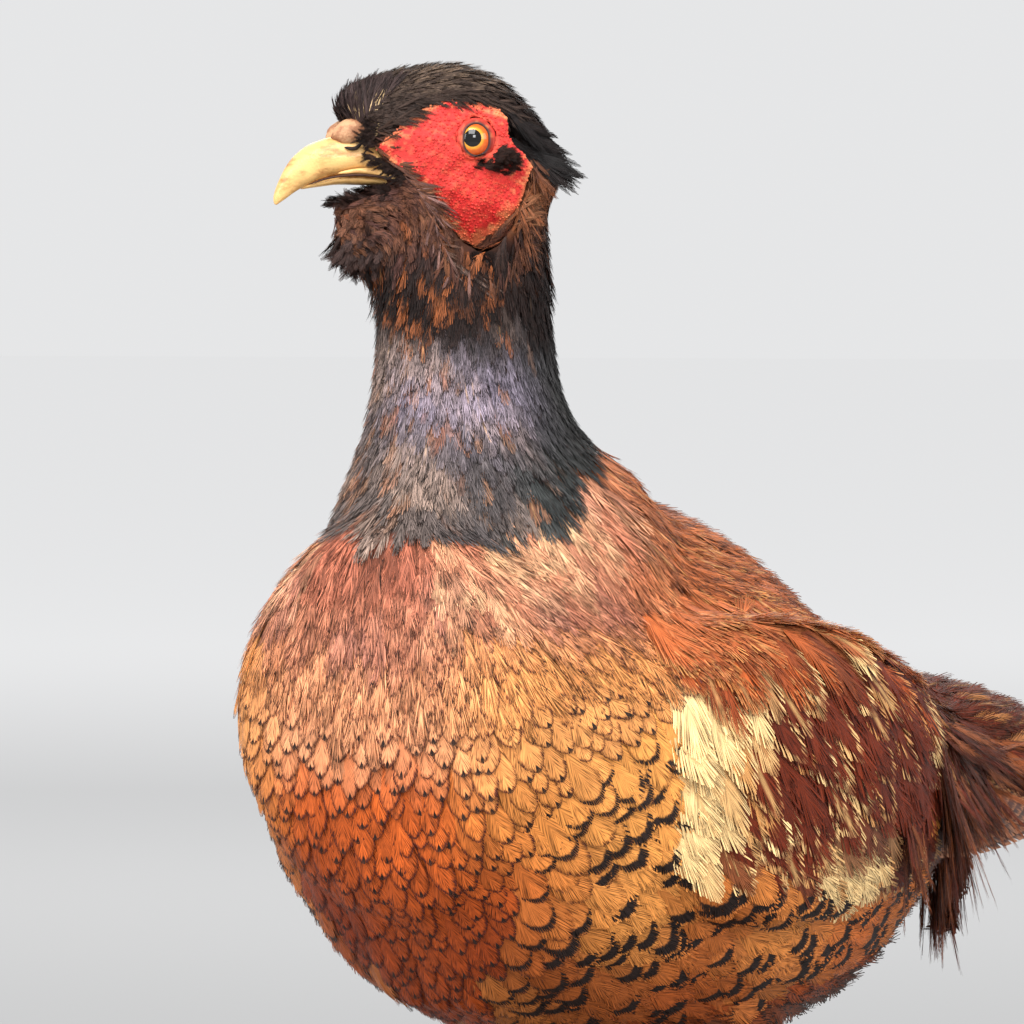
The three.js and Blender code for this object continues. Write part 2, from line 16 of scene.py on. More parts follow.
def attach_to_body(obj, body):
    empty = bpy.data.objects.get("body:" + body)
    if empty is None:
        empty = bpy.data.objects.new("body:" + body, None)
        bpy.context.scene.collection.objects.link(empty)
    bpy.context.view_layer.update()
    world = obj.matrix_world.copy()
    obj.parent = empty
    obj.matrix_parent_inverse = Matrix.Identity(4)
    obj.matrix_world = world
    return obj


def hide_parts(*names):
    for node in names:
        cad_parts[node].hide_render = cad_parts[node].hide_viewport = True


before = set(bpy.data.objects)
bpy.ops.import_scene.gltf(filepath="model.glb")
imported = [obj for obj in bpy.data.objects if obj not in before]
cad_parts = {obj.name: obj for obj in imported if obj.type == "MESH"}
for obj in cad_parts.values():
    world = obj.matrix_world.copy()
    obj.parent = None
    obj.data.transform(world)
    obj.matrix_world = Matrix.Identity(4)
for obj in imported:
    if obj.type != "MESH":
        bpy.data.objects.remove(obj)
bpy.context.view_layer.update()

log = logging.getLogger("pheasant")
Array = np.ndarray
MM = 0.001
SEED = 20


# ---------------------------------------------------------------- small maths


def unit(rows: Array) -> Array:
    """Vectors scaled to length one."""
    return rows / np.maximum(np.linalg.norm(rows, axis=-1, keepdims=True), 1e-9)


def turned_off(directions: Array, normals: Array, share: float = 1) -> Array:
    """Directions with a share of their part along the normals taken out."""
    return directions - share * (directions * normals).sum(-1, keepdims=True) * normals


def ramp(low: float, high: float, value: Array) -> Array:
    """A smooth step from 0 at low to 1 at high."""
    t = np.clip((value - low) / (high - low), 0, 1)
    return t * t * (3 - 2 * t)


def bump_at(centre: float, width: float, value: Array) -> Array:
    """A smooth hill of height 1 at centre, which dies away over width."""
    return np.exp(-(((value - centre) / width) ** 2))


def mix(first: Array, second: Array, share: Array) -> Array:
    """Blends two arrays of colours by a share for each row."""
    share = np.asarray(share)[..., None]
    return np.asarray(first) * (1 - share) + np.asarray(second) * share


def tint(red: float, green: float, blue: float) -> Array:
    """A linear colour from the 0-255 numbers of a display."""
    srgb = np.array([red, green, blue]) / 255
    return np.where(srgb <= 0.04045, srgb / 12.92, ((srgb + 0.055) / 1.055) ** 2.4)


# ---------------------------------------------------------------- the bird's own frame


class Hand(Enum):
    """The bird's left, which is +X, and its right."""

    LEFT = 1
    RIGHT = -1

    @property
    def word(self) -> str:
        """The word that ends a node's name."""
        return self.name.lower()


@dataclass(frozen=True)
class HeadFrame:
    """Where the head sits and which way it looks, in millimetres."""

    centre: tuple[float, float, float] = (0.0, -66.0, 403.0)
    turn: float = math.radians(40)

    @property
    def axes(self) -> Array:
        """The directions ahead, to the left and up, as rows."""
        s, c = math.sin(self.turn), math.cos(self.turn)
        return np.array([[-s, -c, 0], [c, -s, 0], [0, 0, 1]])

    def out(self, ahead: Array, left: Array, up: Array) -> Array:
        """World points of the given head coordinates."""
        return self.turn_out(ahead, left, up) + np.array(self.centre)

    def turn_out(self, ahead: Array, left: Array, up: Array) -> Array:
        """World directions of the given head directions."""
        return np.stack(np.broadcast_arrays(ahead, left, up), -1).astype(float) @ self.axes

    def into(self, points: Array) -> Array:
        """Head coordinates (ahead, left, up) of world points."""
        return (points - np.array(self.centre)) @ self.axes.T


HEAD = HeadFrame()


@dataclass(frozen=True)
class EyeSeat:
    """Where the glass eyes sit in the head and how large they are, in millimetres."""

    ahead: float = -0.5
    left: float = 11.9
    up: float = -1.25
    radius: float = 6.1

    def centre(self, hand: Hand) -> Array:
        """The middle of one eye."""
        return HEAD.out(self.ahead, hand.value * self.left, self.up)

    @staticmethod
    def look(hand: Hand) -> Array:
        """The way one eye looks."""
        return unit(HEAD.turn_out(0.3, hand.value, 0.08))


EYE = EyeSeat()


@dataclass
class Spine:
    """The line from the bill through neck and trunk to the tail, which the feathers follow."""

    knots: tuple[tuple[float, float, float, float], ...] = (
        # x, y, z, reach of its pull
        (-17, -86, 399, 9),
        (-8, -75, 402, 10),
        (2, -64, 398, 10),
        (2, -63, 386, 12),
        (0, -64, 372, 13),
        (0, -64, 345, 14),
        (0, -60, 318, 17),
        (0, -52, 292, 22),
        (0, -38, 267, 26),
        (0, -14, 248, 28),
        (0, 20, 237, 28),
        (0, 60, 230, 26),
        (0, 105, 227, 24),
        (0, 150, 228, 22),
        (0, 200, 222, 20),
        (0, 260, 210, 20),
        (0, 320, 200, 20),
    )
    per_span: int = 5

    def __post_init__(self) -> None:
        """Samples the knots finely, with a direction and a length along the line at each."""
        knots = np.array(self.knots, float)
        t = np.arange(len(knots))
        fine = np.linspace(0, len(knots) - 1, (len(knots) - 1) * self.per_span + 1)
        self.points = np.stack([np.interp(fine, t, knots[:, k]) for k in range(4)], 1)
        for _ in range(3):
            inner = (self.points[:-2] + 2 * self.points[1:-1] + self.points[2:]) / 4
            self.points[1:-1] = inner
        self.reach = self.points[:, 3]
        self.points = self.points[:, :3]
        step = np.gradient(self.points, axis=0)
        self.along = unit(step)
        self.length = np.concatenate([[0], np.cumsum(np.linalg.norm(np.diff(self.points, axis=0), axis=1))])

    def weights(self, points: Array) -> Array:
        """How much each sample of the line matters at each point.

        Args:
            points: places in millimetres.

        Returns:
            A row of shares that add up to 1 for each point.
        """
        gap = np.linalg.norm(points[:, None] - self.points[None], axis=2)
        nearest = gap.min(1, keepdims=True)
        pull = np.exp(-(gap**2 - nearest**2) / (2 * self.reach[None] ** 2))
        return pull / pull.sum(1, keepdims=True)

    def lie(self, points: Array, normals: Array) -> Array:
        """The direction in which feathers lie at points of the skin, along the skin.

        Args:
            points: places in millimetres.
            normals: the skin's normals there.

        Returns:
            A direction for each point.
        """
        weights = self.weights(points)
        flow = weights @ self.along
        x, y, z = points.T
        leg = ramp(166, 150, z) * ramp(60, 40, np.abs(y - 25))
        flow = flow * (1 - leg[:, None]) + leg[:, None] * np.array([0, 0.35, -0.9])
        wing = ramp(38, 60, np.abs(x) + 0.15 * np.maximum(y, 0)) * ramp(-78, -54, y) * ramp(130, 80, y)
        steep = wing * ramp(180, 200, z) * ramp(284, 256, z) * (0.35 + 0.6 * ramp(202, 222, z))
        flow = flow + steep[:, None] * np.array([0, 0.0, -1.0])
        sweep = ramp(250, 215, z) * ramp(10, 45, np.abs(x)) * ramp(-20, -60, y)
        flow = flow + sweep[:, None] * np.array([0, 0.55, 0.0])
        hang = ramp(204, 190, z) * bump_at(145, 22, y) * ramp(20, 27, np.abs(x))
        flow = flow + hang[:, None] * np.array([0, -0.2, -2.0])
        return unit(turned_off(flow, normals))

    def place(self, points: Array) -> Array:
        """The length along the line at each point."""
        return self.weights(points) @ self.length


SPINE = Spine()


# ---------------------------------------------------------------- meshes from arrays


def new_object(name: str, data: bpy.types.ID) -> bpy.types.Object:
    """An object of some data, linked to the scene.

    Args:
        name: the object's name.
        data: its mesh, lamp or camera.

    Returns:
        The object.
    """
    thing = bpy.data.objects.new(name, data)
    bpy.context.scene.collection.objects.link(thing)
    return thing


def attach(thing: bpy.types.Object, *nodes: str) -> None:
    """Makes a piece ride on the body and stand for the nodes it replaces.

    Args:
        thing: the object.
        *nodes: the names of the nodes it replaces.
    """
    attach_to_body(thing, "root")
    if nodes:
        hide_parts(*nodes)
    thing.data.calc_loop_triangles()
    log.info("%s: %d triangles", thing.name, len(thing.data.loop_triangles))


def vertex_vectors(mesh: bpy.types.Mesh, kind: str) -> Array:
    """The places ("co") or directions ("normal") of all vertices.

    Args:
        mesh: the mesh.
        kind: which of the two.

    Returns:
        Three numbers for each vertex.
    """
    flat = np.empty(len(mesh.vertices) * 3, np.float32)
    mesh.vertices.foreach_get(kind, flat)
    return flat.reshape(-1, 3).astype(float)


def move_to(mesh: bpy.types.Mesh, points: Array) -> None:
    """Moves all vertices to places in millimetres."""
    mesh.vertices.foreach_set("co", (points * MM).astype(np.float32).ravel())


def write_colours(mesh: bpy.types.Mesh, title: str, colours: Array) -> None:
    """Keeps a colour and an alpha for each vertex under a title."""
    attribute = mesh.attributes.new(title, "FLOAT_COLOR", "POINT")
    attribute.data.foreach_set("color", colours.astype(np.float32).ravel())


def mesh_from_arrays(
    name: str,
    points: Array,
    corners: Array,
    sizes: Array,
    maps: dict[str, Array] | None = None,
    paints: dict[str, Array] | None = None,
) -> bpy.types.Object:
    """Makes a smooth-shaded mesh object.

    Args:
        name: the object's name.
        points: vertex places in millimetres.
        corners: vertex numbers of all faces, one after another.
        sizes: how many corners each face has.
        maps: UV maps by name, one pair for each vertex.
        paints: colour attributes by name, four numbers for each vertex.

    Returns:
        The linked object.
    """
    mesh = bpy.data.meshes.new(name)
    mesh.vertices.add(len(points))
    mesh.vertices.foreach_set("co", (np.asarray(points, np.float32) * MM).ravel())
    mesh.loops.add(len(corners))
    mesh.loops.foreach_set("vertex_index", corners.astype(np.int32))
    mesh.polygons.add(len(sizes))
    starts = np.concatenate([[0], np.cumsum(sizes)[:-1]]).astype(np.int32)
    mesh.polygons.foreach_set("loop_start", starts)
    mesh.update(calc_edges=True)
    for title, pairs in (maps or {}).items():
        layer = mesh.uv_layers.new(name=title)
        layer.data.foreach_set("uv", pairs[corners].astype(np.float32).ravel())
    for title, colours in (paints or {}).items():
        write_colours(mesh, title, colours)
    mesh.shade_smooth()
    return new_object(name, mesh)


def grid_faces(rows: int, columns: int, looped: bool = False) -> Array:
    """Quads between the rings of a tube.

    Args:
        rows: how many rings there are.
        columns: how many points each ring has.
        looped: whether the last ring joins the first.

    Returns:
        An array of four vertex numbers for each face.
    """
    i, k = np.meshgrid(np.arange(rows if looped else rows - 1), np.arange(columns), indexing="ij")
    after = (k + 1) % columns
    here, ahead = i * columns, (i + 1) % rows * columns
    return np.stack([here + k, here + after, ahead + after, ahead + k], -1).reshape(-1, 4)


def tube_object(name: str, rings: Array) -> bpy.types.Object:
    """A closed tube through rings of points, with a fan over each end.

    Args:
        name: the object's name.
        rings: an array of rings, each an array of points in millimetres.

    Returns:
        The linked object, its faces pointing out.
    """
    rows, columns = rings.shape[:2]
    quads = grid_faces(rows, columns)
    first, last = rows * columns, rows * columns + 1
    ring = np.arange(columns)
    after = (ring + 1) % columns
    start = np.stack([np.full(columns, first), after, ring], 1)
    base = (rows - 1) * columns
    end = np.stack([np.full(columns, last), base + ring, base + after], 1)
    points = np.concatenate([rings.reshape(-1, 3), [rings[0].mean(0), rings[-1].mean(0)]])
    corners = np.concatenate([quads.ravel(), start.ravel(), end.ravel()])
    sizes = np.concatenate([np.full(len(quads), 4), np.full(2 * columns, 3)])
    thing = mesh_from_arrays(name, points, corners, sizes)
    face_outwards(thing.data)
    return thing


def face_outwards(mesh: bpy.types.Mesh) -> None:
    """Turns every face of a closed mesh to point out.

    Args:
        mesh: the mesh.
    """
    shell = bmesh.new()
    shell.from_mesh(mesh)
    bmesh.ops.recalc_face_normals(shell, faces=shell.faces)
    shell.to_mesh(mesh)
    shell.free()


def keep_result(thing: bpy.types.Object) -> None:
    """Makes what an object's modifiers give its plain mesh, and removes them.

    Args:
        thing: the object.
    """
    graph = bpy.context.evaluated_depsgraph_get()
    mesh = bpy.data.meshes.new_from_object(thing.evaluated_get(graph), depsgraph=graph)
    thing.modifiers.clear()
    old, thing.data = thing.data, mesh
    bpy.data.meshes.remove(old)


def softened(
    name: str, nodes: tuple[str, ...], voxel: float, rounds: int, swell: float = 0
) -> bpy.types.Object:
    """A finely meshed, softened copy of some solids as one piece.

    Args:
        name: the object's name.
        nodes: the solids' nodes.
        voxel: how fine the mesh is, in millimetres.
        rounds: how often it is eased.
        swell: how far each solid is blown up first, in millimetres.

    Returns:
        The linked object.
    """
    whole = bmesh.new()
    for node in nodes:
        solid = bmesh.new()
        solid.from_mesh(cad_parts[node].data)
        bmesh.ops.remove_doubles(solid, verts=solid.verts, dist=1e-5)
        solid.normal_update()
        for vertex in solid.verts:
            vertex.co += vertex.normal * swell * MM
        piece = bpy.data.meshes.new("piece")
        solid.to_mesh(piece)
        whole.from_mesh(piece)
        solid.free()
        bpy.data.meshes.remove(piece)
    mesh = bpy.data.meshes.new(name)
    whole.to_mesh(mesh)
    whole.free()
    thing = new_object(name, mesh)
    remesh = thing.modifiers.new("voxels", "REMESH")
    remesh.mode, remesh.voxel_size = "VOXEL", voxel * MM
    ease = thing.modifiers.new("ease", "SMOOTH")
    ease.factor, ease.iterations = 0.5, rounds
    keep_result(thing)
    thing.data.shade_smooth()
    return thing


def sweep_rings(
    stations: Array, side: Array, rows: int, columns: int, blunt: tuple[float, float] = (0, 0),
    squareness: float = 2.0,
) -> Array:
    """Rings of a body swept through stations of (x, y, z, half-width, half-height over and under).

    Args:
        stations: the sections that the body passes through, in millimetres.
        side: the direction of the half-width.
        rows: how many rings to make.
        columns: how many points each ring has.
        blunt: the share of the length over which each end is rounded off.
        squareness: 2 for an oval, more for a squarer section.

    Returns:
        An array of rings of points.
    """
    stations = np.asarray(stations, float)
    knots = np.linspace(0, 1, len(stations))
    t = (1 - np.cos(np.linspace(0, np.pi, rows))) / 2
    fine = np.stack([smooth_through(knots, stations[:, k], t) for k in range(6)], 1)
    along = unit(np.gradient(fine[:, :3], axis=0))
    over = unit(np.cross(side, along))
    across = unit(np.cross(along, over))
    taper = end_rounding(t, blunt[0]) * end_rounding(1 - t, blunt[1])
    angle = np.linspace(0, 2 * np.pi, columns, endpoint=False)
    c, s = np.cos(angle), np.sin(angle)
    c = np.sign(c) * np.abs(c) ** (2 / squareness)
    s = np.sign(s) * np.abs(s) ** (2 / squareness)
    height = np.where(s[None] > 0, fine[:, 4:5], fine[:, 5:6])
    x = fine[:, 3:4] * taper[:, None] * c[None]
    y = height * taper[:, None] * s[None]
    return fine[:, None, :3] + across[:, None] * x[..., None] + over[:, None] * y[..., None]


def end_rounding(t: Array, length: float) -> Array:
    """The share of full size at t from an end that is rounded over length.

    Args:
        t: places from 0 at the end to 1 at the other.
        length: the share of the whole that is rounded.

    Returns:
        A share for each place.
    """
    if length <= 0:
        return np.ones_like(t)
    return np.sqrt(np.clip(1 - (1 - np.minimum(t / length, 1)) ** 2, 1e-4, 1))


def smooth_through(knots: Array, values: Array, t: Array) -> Array:
    """A Catmull-Rom curve of one number through its knots.

    Args:
        knots: where the curve is given, in rising order.
        values: its values there.
        t: where it is wanted.

    Returns:
        A value for each t.
    """
    slopes = np.gradient(values, knots)
    k = np.clip(np.searchsorted(knots, t, side="right") - 1, 0, len(knots) - 2)
    h = knots[k + 1] - knots[k]
    u = (t - knots[k]) / h
    a = (1 + 2 * u) * (1 - u) ** 2
    b = u * (1 - u) ** 2 * h
    c = u * u * (3 - 2 * u)
    d = u * u * (u - 1) * h
    return a * values[k] + b * slopes[k] + c * values[k + 1] + d * slopes[k + 1]


# ---------------------------------------------------------------- shader groups and finishes


FLOAT, COLOUR, VECTOR = "NodeSocketFloat", "NodeSocketColor", "NodeSocketVector"


@dataclass(frozen=True)
class Wire:
    """A number or colour inside a shader, on which sums are written plainly, a node for each."""

    socket: bpy.types.NodeSocket

    def __add__(self, other: object) -> "Wire":
        """This and the other."""
        return maths("ADD", self, other)

    def __radd__(self, other: float) -> "Wire":
        """A number and this."""
        return maths("ADD", other, self)

    def __sub__(self, other: object) -> "Wire":
        """This less the other."""
        return maths("SUBTRACT", self, other)

    def __rsub__(self, other: float) -> "Wire":
        """A number less this."""
        return maths("SUBTRACT", other, self)

    def __mul__(self, other: object) -> "Wire":
        """This times the other."""
        return maths("MULTIPLY", self, other)

    def __truediv__(self, other: object) -> "Wire":
        """This over the other."""
        return maths("DIVIDE", self, other)

    def __pow__(self, power: float) -> "Wire":
        """This to a power."""
        return maths("POWER", self, power)

    def __gt__(self, limit: float) -> "Wire":
        """1 where this is above a limit, else 0."""
        return maths("GREATER_THAN", self, limit)

    def __abs__(self) -> "Wire":
        """This without its sign."""
        return maths("ABSOLUTE", self)


def feed(slot: bpy.types.NodeSocket, value: object) -> None:
    """Gives an input a wire, another node's output, or a plain number, vector or colour.

    Args:
        slot: the input.
        value: what it gets.
    """
    source = value.socket if isinstance(value, Wire) else value
    if isinstance(source, bpy.types.NodeSocket):
        slot.id_data.links.new(source, slot)
    elif slot.type == "RGBA":
        slot.default_value = (*value[:3], 1)
    else:
        slot.default_value = value


def new_node(tree: bpy.types.NodeTree, kind: str, **settings: object) -> bpy.types.Node:
    """Adds a node and sets its properties, and feeds its inputs by name where no property fits.

    Args:
        tree: the node tree.
        kind: the node's type.
        **settings: properties and inputs by name, "_" for a space.

    Returns:
        The node.
    """
    node = tree.nodes.new(kind)
    for key, value in settings.items():
        if hasattr(node, key):
            setattr(node, key, value)
        else:
            feed(node.inputs[key.replace("_", " ")], value)
    return node


def tree_of(*values: object) -> bpy.types.NodeTree:
    """The node tree that the first wire among some values belongs to."""
    return next(value.socket.id_data for value in values if isinstance(value, Wire))


def math_node(kind: str, operation: str, *values: object) -> bpy.types.Node:
    """A Math or Vector Math node of an operation over wires and plain values.

    Args:
        kind: the node's type.
        operation: the node's operation.
        *values: what its inputs get, in order.

    Returns:
        The node.
    """
    node = new_node(tree_of(*values), kind, operation=operation)
    for slot, value in zip(node.inputs, values):
        feed(slot, value)
    return node


def maths(operation: str, *values: object) -> Wire:
    """What a Math node makes of wires and numbers."""
    return Wire(math_node("ShaderNodeMath", operation, *values).outputs[0])


def vector_maths(operation: str, *values: object) -> Wire:
    """What a Vector Math node makes of wires and vectors."""
    output = "Value" if operation in ("LENGTH", "DOT_PRODUCT") else "Vector"
    return Wire(math_node("ShaderNodeVectorMath", operation, *values).outputs[output])


def blend(share: object, first: object, second: object, mode: str = "MIX") -> Wire:
    """Mixes two colours by a share. At least one of the three is a wire.

    Args:
        share: how much of the second shows.
        first: a colour.
        second: another.
        mode: how the second is laid over the first.

    Returns:
        The mixed colour.
    """
    node = new_node(tree_of(share, first, second), "ShaderNodeMix", data_type="RGBA", blend_type=mode)
    for place, value in ((0, share), (6, first), (7, second)):
        feed(node.inputs[place], value)
    return Wire(node.outputs[2])


def shade(colour: Wire, level: Wire) -> Wire:
    """A colour made lighter or darker by a number."""
    grey = new_node(tree_of(level), "ShaderNodeCombineColor", Red=level, Green=level, Blue=level)
    return blend(1.0, colour, Wire(grey.outputs[0]), "MULTIPLY")


def step_up(value: Wire, low: object, high: object) -> Wire:
    """A smooth step from 0 at low to 1 at high.

    Args:
        value: the number to look at.
        low: where the step starts.
        high: where the step ends.

    Returns:
        The share.
    """
    node = new_node(tree_of(value), "ShaderNodeMapRange", interpolation_type="SMOOTHSTEP", Value=value,
                    From_Min=low, From_Max=high)
    return Wire(node.outputs[0])


def noise(place: Wire, scale: object, detail: float, roughness: float = 0.5) -> Wire:
    """Soft chance over a place."""
    return Wire(new_node(tree_of(place), "ShaderNodeTexNoise", Vector=place, Scale=scale, Detail=detail,
                         Roughness=roughness).outputs[0])


def object_place(tree: bpy.types.NodeTree, stretch: tuple[float, float, float] | None = None) -> Wire:
    """The place on the object itself, stretched where asked.

    Args:
        tree: the node tree.
        stretch: a factor for each axis.

    Returns:
        The place.
    """
    place = new_node(tree, "ShaderNodeTexCoord").outputs["Object"]
    if stretch:
        place = new_node(tree, "ShaderNodeMapping", Vector=place, Scale=stretch).outputs[0]
    return Wire(place)


def map_place(tree: bpy.types.NodeTree, title: str) -> tuple[Wire, Wire]:
    """The two numbers of a UV map.

    Args:
        tree: the node tree.
        title: the map's name.

    Returns:
        The numbers across and along.
    """
    source = new_node(tree, "ShaderNodeUVMap", uv_map=title)
    split = new_node(tree, "ShaderNodeSeparateXYZ", Vector=source.outputs[0])
    return Wire(split.outputs[0]), Wire(split.outputs[1])


def paint(tree: bpy.types.NodeTree, title: str) -> tuple[Wire, Wire]:
    """The colour and the alpha of a painted vertex colour."""
    source = new_node(tree, "ShaderNodeAttribute", attribute_name=title)
    return Wire(source.outputs["Color"]), Wire(source.outputs["Alpha"])


def channels(colour: Wire) -> list[Wire]:
    """The red, green and blue of a colour, each a number."""
    split = new_node(tree_of(colour), "ShaderNodeSeparateColor", Color=colour)
    return [Wire(output) for output in split.outputs[:3]]


def new_group(
    name: str, inputs: dict[str, tuple], outputs: dict[str, str]
) -> tuple[bpy.types.NodeTree, dict[str, Wire], bpy.types.Node]:
    """An empty shader node group.

    Args:
        name: the group's name.
        inputs: for each input, its socket type and default value.
        outputs: for each output, its socket type.

    Returns:
        The node tree, its inputs as wires, and its Group Output node.
    """
    tree = bpy.data.node_groups.new(name, "ShaderNodeTree")
    for title, (kind, value) in inputs.items():
        tree.interface.new_socket(title, in_out="INPUT", socket_type=kind).default_value = value
    for title, kind in outputs.items():
        tree.interface.new_socket(title, in_out="OUTPUT", socket_type=kind)
    start = new_node(tree, "NodeGroupInput")
    return tree, {title: Wire(start.outputs[title]) for title in inputs}, new_node(tree, "NodeGroupOutput")


def put_out(end: bpy.types.Node, **values: Wire) -> None:
    """Feeds a group's outputs by name."""
    for title, value in values.items():
        feed(end.inputs[title], value)


def barb_group() -> bpy.types.NodeTree:
    """The fine parallel barbs of a vane, as a shade of light and dark, a height and the gaps between the free
    barbs, where painted shade goes.

    Returns:
        The shared group.
    """
    tree, given, end = new_group("Barbs", {"Lines": (FLOAT, 45.0), "Shift": (FLOAT, 0.0)},
                                 {"Shade": FLOAT, "Height": FLOAT, "Slits": FLOAT})
    outward, along = map_place(tree, "BarbUV")
    place = Wire(new_node(tree, "ShaderNodeCombineXYZ", X=along * given["Lines"] + given["Shift"] * 57.0,
                          Y=outward * 1.6, Z=given["Shift"] * 9.0).outputs[0])
    fine, coarse = noise(place, 1.0, 1.0), noise(place, 0.21, 1.0)
    # The gaps between the free barbs are where the vane is darkened with painted shade.
    put_out(end, Shade=fine * 0.65 + coarse * 0.35, Height=fine,
            Slits=step_up(fine, 0.45, 0.37) * step_up(outward, 0.12, 0.45))
    return tree


def marking_group() -> bpy.types.NodeTree:
    """The markings of a vane: rim, dark tip, notch and pale shaft, from its own maps and paints.

    Returns:
        The shared group.
    """
    tree, given, end = new_group(
        "Vane markings",
        {"Dark": (COLOUR, (0.02, 0.012, 0.01, 1)), "Pale": (COLOUR, (0.7, 0.5, 0.3, 1)),
         "Barb shade": (FLOAT, 0.5), "Barb depth": (FLOAT, 0.5), "Slits": (FLOAT, 0.0),
         "Slit depth": (FLOAT, 0.6), "Open tip": (FLOAT, 0.0)},
        {"Color": COLOUR},
    )
    ground, notch_size = paint(tree, "vane")
    rim_colour, shaft_end = paint(tree, "rim")
    rim_width, bar_size, streak = channels(paint(tree, "marks")[0])
    across, along = map_place(tree, "VaneUV")
    aside = abs(across - 0.5)
    wobble = (given["Barb shade"] - 0.5) * 0.8
    # The rim: the outer ends of the barbs, left off over an open tip.
    inner = 1.0 - rim_width
    edge = step_up(map_place(tree, "BarbUV")[0] + wobble, inner - 0.07, inner + 0.05)
    tip = step_up(along, 0.82, 0.94) * given["Open tip"]
    rim = edge * step_up(along, 0.3, 0.55) * (rim_width > 0.01) * (1.0 - tip)
    # The bar across the tip.
    bar_at = along + wobble * 0.22
    bar_start = 0.98 - bar_size * 0.26 - (aside * 2.0) ** 2.0 * 0.2
    bar_end = bar_start + 0.02 + bar_size * 0.19
    bar = step_up(bar_at, bar_start, bar_start + 0.03) * step_up(bar_at, bar_end + 0.03, bar_end)
    # The notch: a dark wedge in the middle of the tip.
    notch_start = 1.0 - notch_size * 0.16
    notch = step_up(along - aside * 1.1 + wobble * 0.06, notch_start, notch_start + 0.03)
    dark = maths("MAXIMUM", bar * (bar_size > 0.02), notch * (notch_size > 0.02))
    # The pale streak along the shaft, up to the place that the rim's alpha gives.
    shaft = step_up(aside + wobble * 0.16, 0.13, 0.02) * step_up(along, shaft_end + 0.12, shaft_end - 0.12)
    painted = blend(rim, ground, rim_colour)
    painted = blend(shaft * streak, painted, given["Pale"])
    painted = blend(dark, painted, given["Dark"])
    light = Wire(new_node(tree, "ShaderNodeMapRange", Value=given["Barb shade"], From_Min=0.38, From_Max=0.62,
                          To_Min=1.0 - given["Barb depth"], To_Max=1.0 + given["Barb depth"]).outputs[0])
    # Painted shade: the vane is darkened in the gaps between its barbs.
    put_out(end, Color=shade(painted, light * (1.0 - given["Slits"] * given["Slit depth"])))
    return tree


BARS_PER_PAINT = 50.0  # how many bars cross a long feather whose paint says 1


def cross_bar_group() -> bpy.types.NodeTree:
    """Dark bars across a long feather, swept towards its tip, as a mask.

    Returns:
        The shared group.
    """
    tree, given, end = new_group(
        "Cross bars", {"Share": (FLOAT, 0.4), "Sweep": (FLOAT, 0.8), "Wander": (FLOAT, 0.3)}, {"Mask": FLOAT})
    marks, chance = paint(tree, "marks")
    across, share_along = map_place(tree, "VaneUV")
    along = share_along * (channels(marks)[1] * BARS_PER_PAINT)
    spot = new_node(tree, "ShaderNodeCombineXYZ", X=across * 5.0, Y=along * 1.3, Z=chance * 40.0)
    astray = (noise(Wire(spot.outputs[0]), 1.0, 3.0) - 0.5) * given["Wander"]
    phase = maths("FRACT", along - abs(across - 0.5) * given["Sweep"] + astray)
    half = given["Share"] * 0.5
    put_out(end, Mask=step_up(abs(phase - 0.5), half + 0.05, half - 0.05))
    return tree


def mottle_group() -> bpy.types.NodeTree:
    """Soft blotches and fine grain on a plain surface, as a factor round 1 and a height.

    Returns:
        The shared group.
    """
    tree, given, end = new_group(
        "Mottle", {"Blotch size": (FLOAT, 60.0), "Grain size": (FLOAT, 900.0), "Depth": (FLOAT, 0.3)},
        {"Factor": FLOAT, "Height": FLOAT})
    place = object_place(tree)
    grain = noise(place, given["Grain size"], 2.0)
    both = noise(place, given["Blotch size"], 3.0) * 0.6 + grain * 0.4
    put_out(end, Factor=1.0 + (both - 0.5) * given["Depth"] * 2.0, Height=grain)
    return tree


def place_group(tree: bpy.types.NodeTree, name: str, **values: object) -> dict[str, Wire]:
    """Puts a shared group in a material with its own values, and returns its outputs.

    Args:
        tree: the node tree.
        name: the group's name.
        **values: its inputs by name, "_" for a space.

    Returns:
        Its outputs by name.
    """
    makers = {"Barbs": barb_group, "Vane markings": marking_group, "Mottle": mottle_group,
              "Cross bars": cross_bar_group}
    group = bpy.data.node_groups.get(name) or makers[name]()
    node = new_node(tree, "ShaderNodeGroup", node_tree=group, **values)
    return {output.name: Wire(output) for output in node.outputs}


def mottled(colour: Wire, blotch: float, grain: float, depth: float) -> tuple[Wire, Wire]:
    """A colour with the mottle over it, and the mottle's height."""
    mottle = place_group(tree_of(colour), "Mottle", Blotch_size=blotch, Grain_size=grain, Depth=depth)
    return shade(colour, mottle["Factor"]), mottle["Height"]


@dataclass(frozen=True)
class Finish:
    """The base of every finish: a name, a slot and the shader's plain values."""

    name: str
    slot: str
    roughness: float = 0.5
    specular: float = 0.5
    coat: float = 0.0
    coat_roughness: float = 0.08

    def begin(self) -> tuple[bpy.types.Material, bpy.types.NodeTree, bpy.types.Node]:
        """A new material with its node tree and shader.

        Returns:
            The material, its node tree and its shader.
        """
        material = bpy.data.materials.new(self.name)
        material.use_nodes = True
        tree = material.node_tree
        tree.nodes.clear()
        shader = new_node(tree, "ShaderNodeBsdfPrincipled", Roughness=self.roughness, Coat_Weight=self.coat,
                          Specular_IOR_Level=self.specular, Coat_Roughness=self.coat_roughness)
        new_node(tree, "ShaderNodeOutputMaterial", Surface=shader.outputs[0])
        return material, tree, shader

    def dress(self, thing: bpy.types.Object) -> None:
        """Gives an object this finish alone.

        Args:
            thing: the object.
        """
        material = bpy.data.materials.get(self.name) or self.make()
        thing.data.materials.clear()
        thing.data.materials.append(material)

    def make(self) -> bpy.types.Material:
        """Builds the material."""
        return self.begin()[0]


def raise_bump(shader: bpy.types.Node, height: Wire, strength: float, distance: float) -> None:
    """Feeds a height through a Bump node into the shader's normal."""
    bump = new_node(tree_of(height), "ShaderNodeBump", Strength=strength, Distance=distance, Height=height)
    feed(shader.inputs["Normal"], bump.outputs[0])


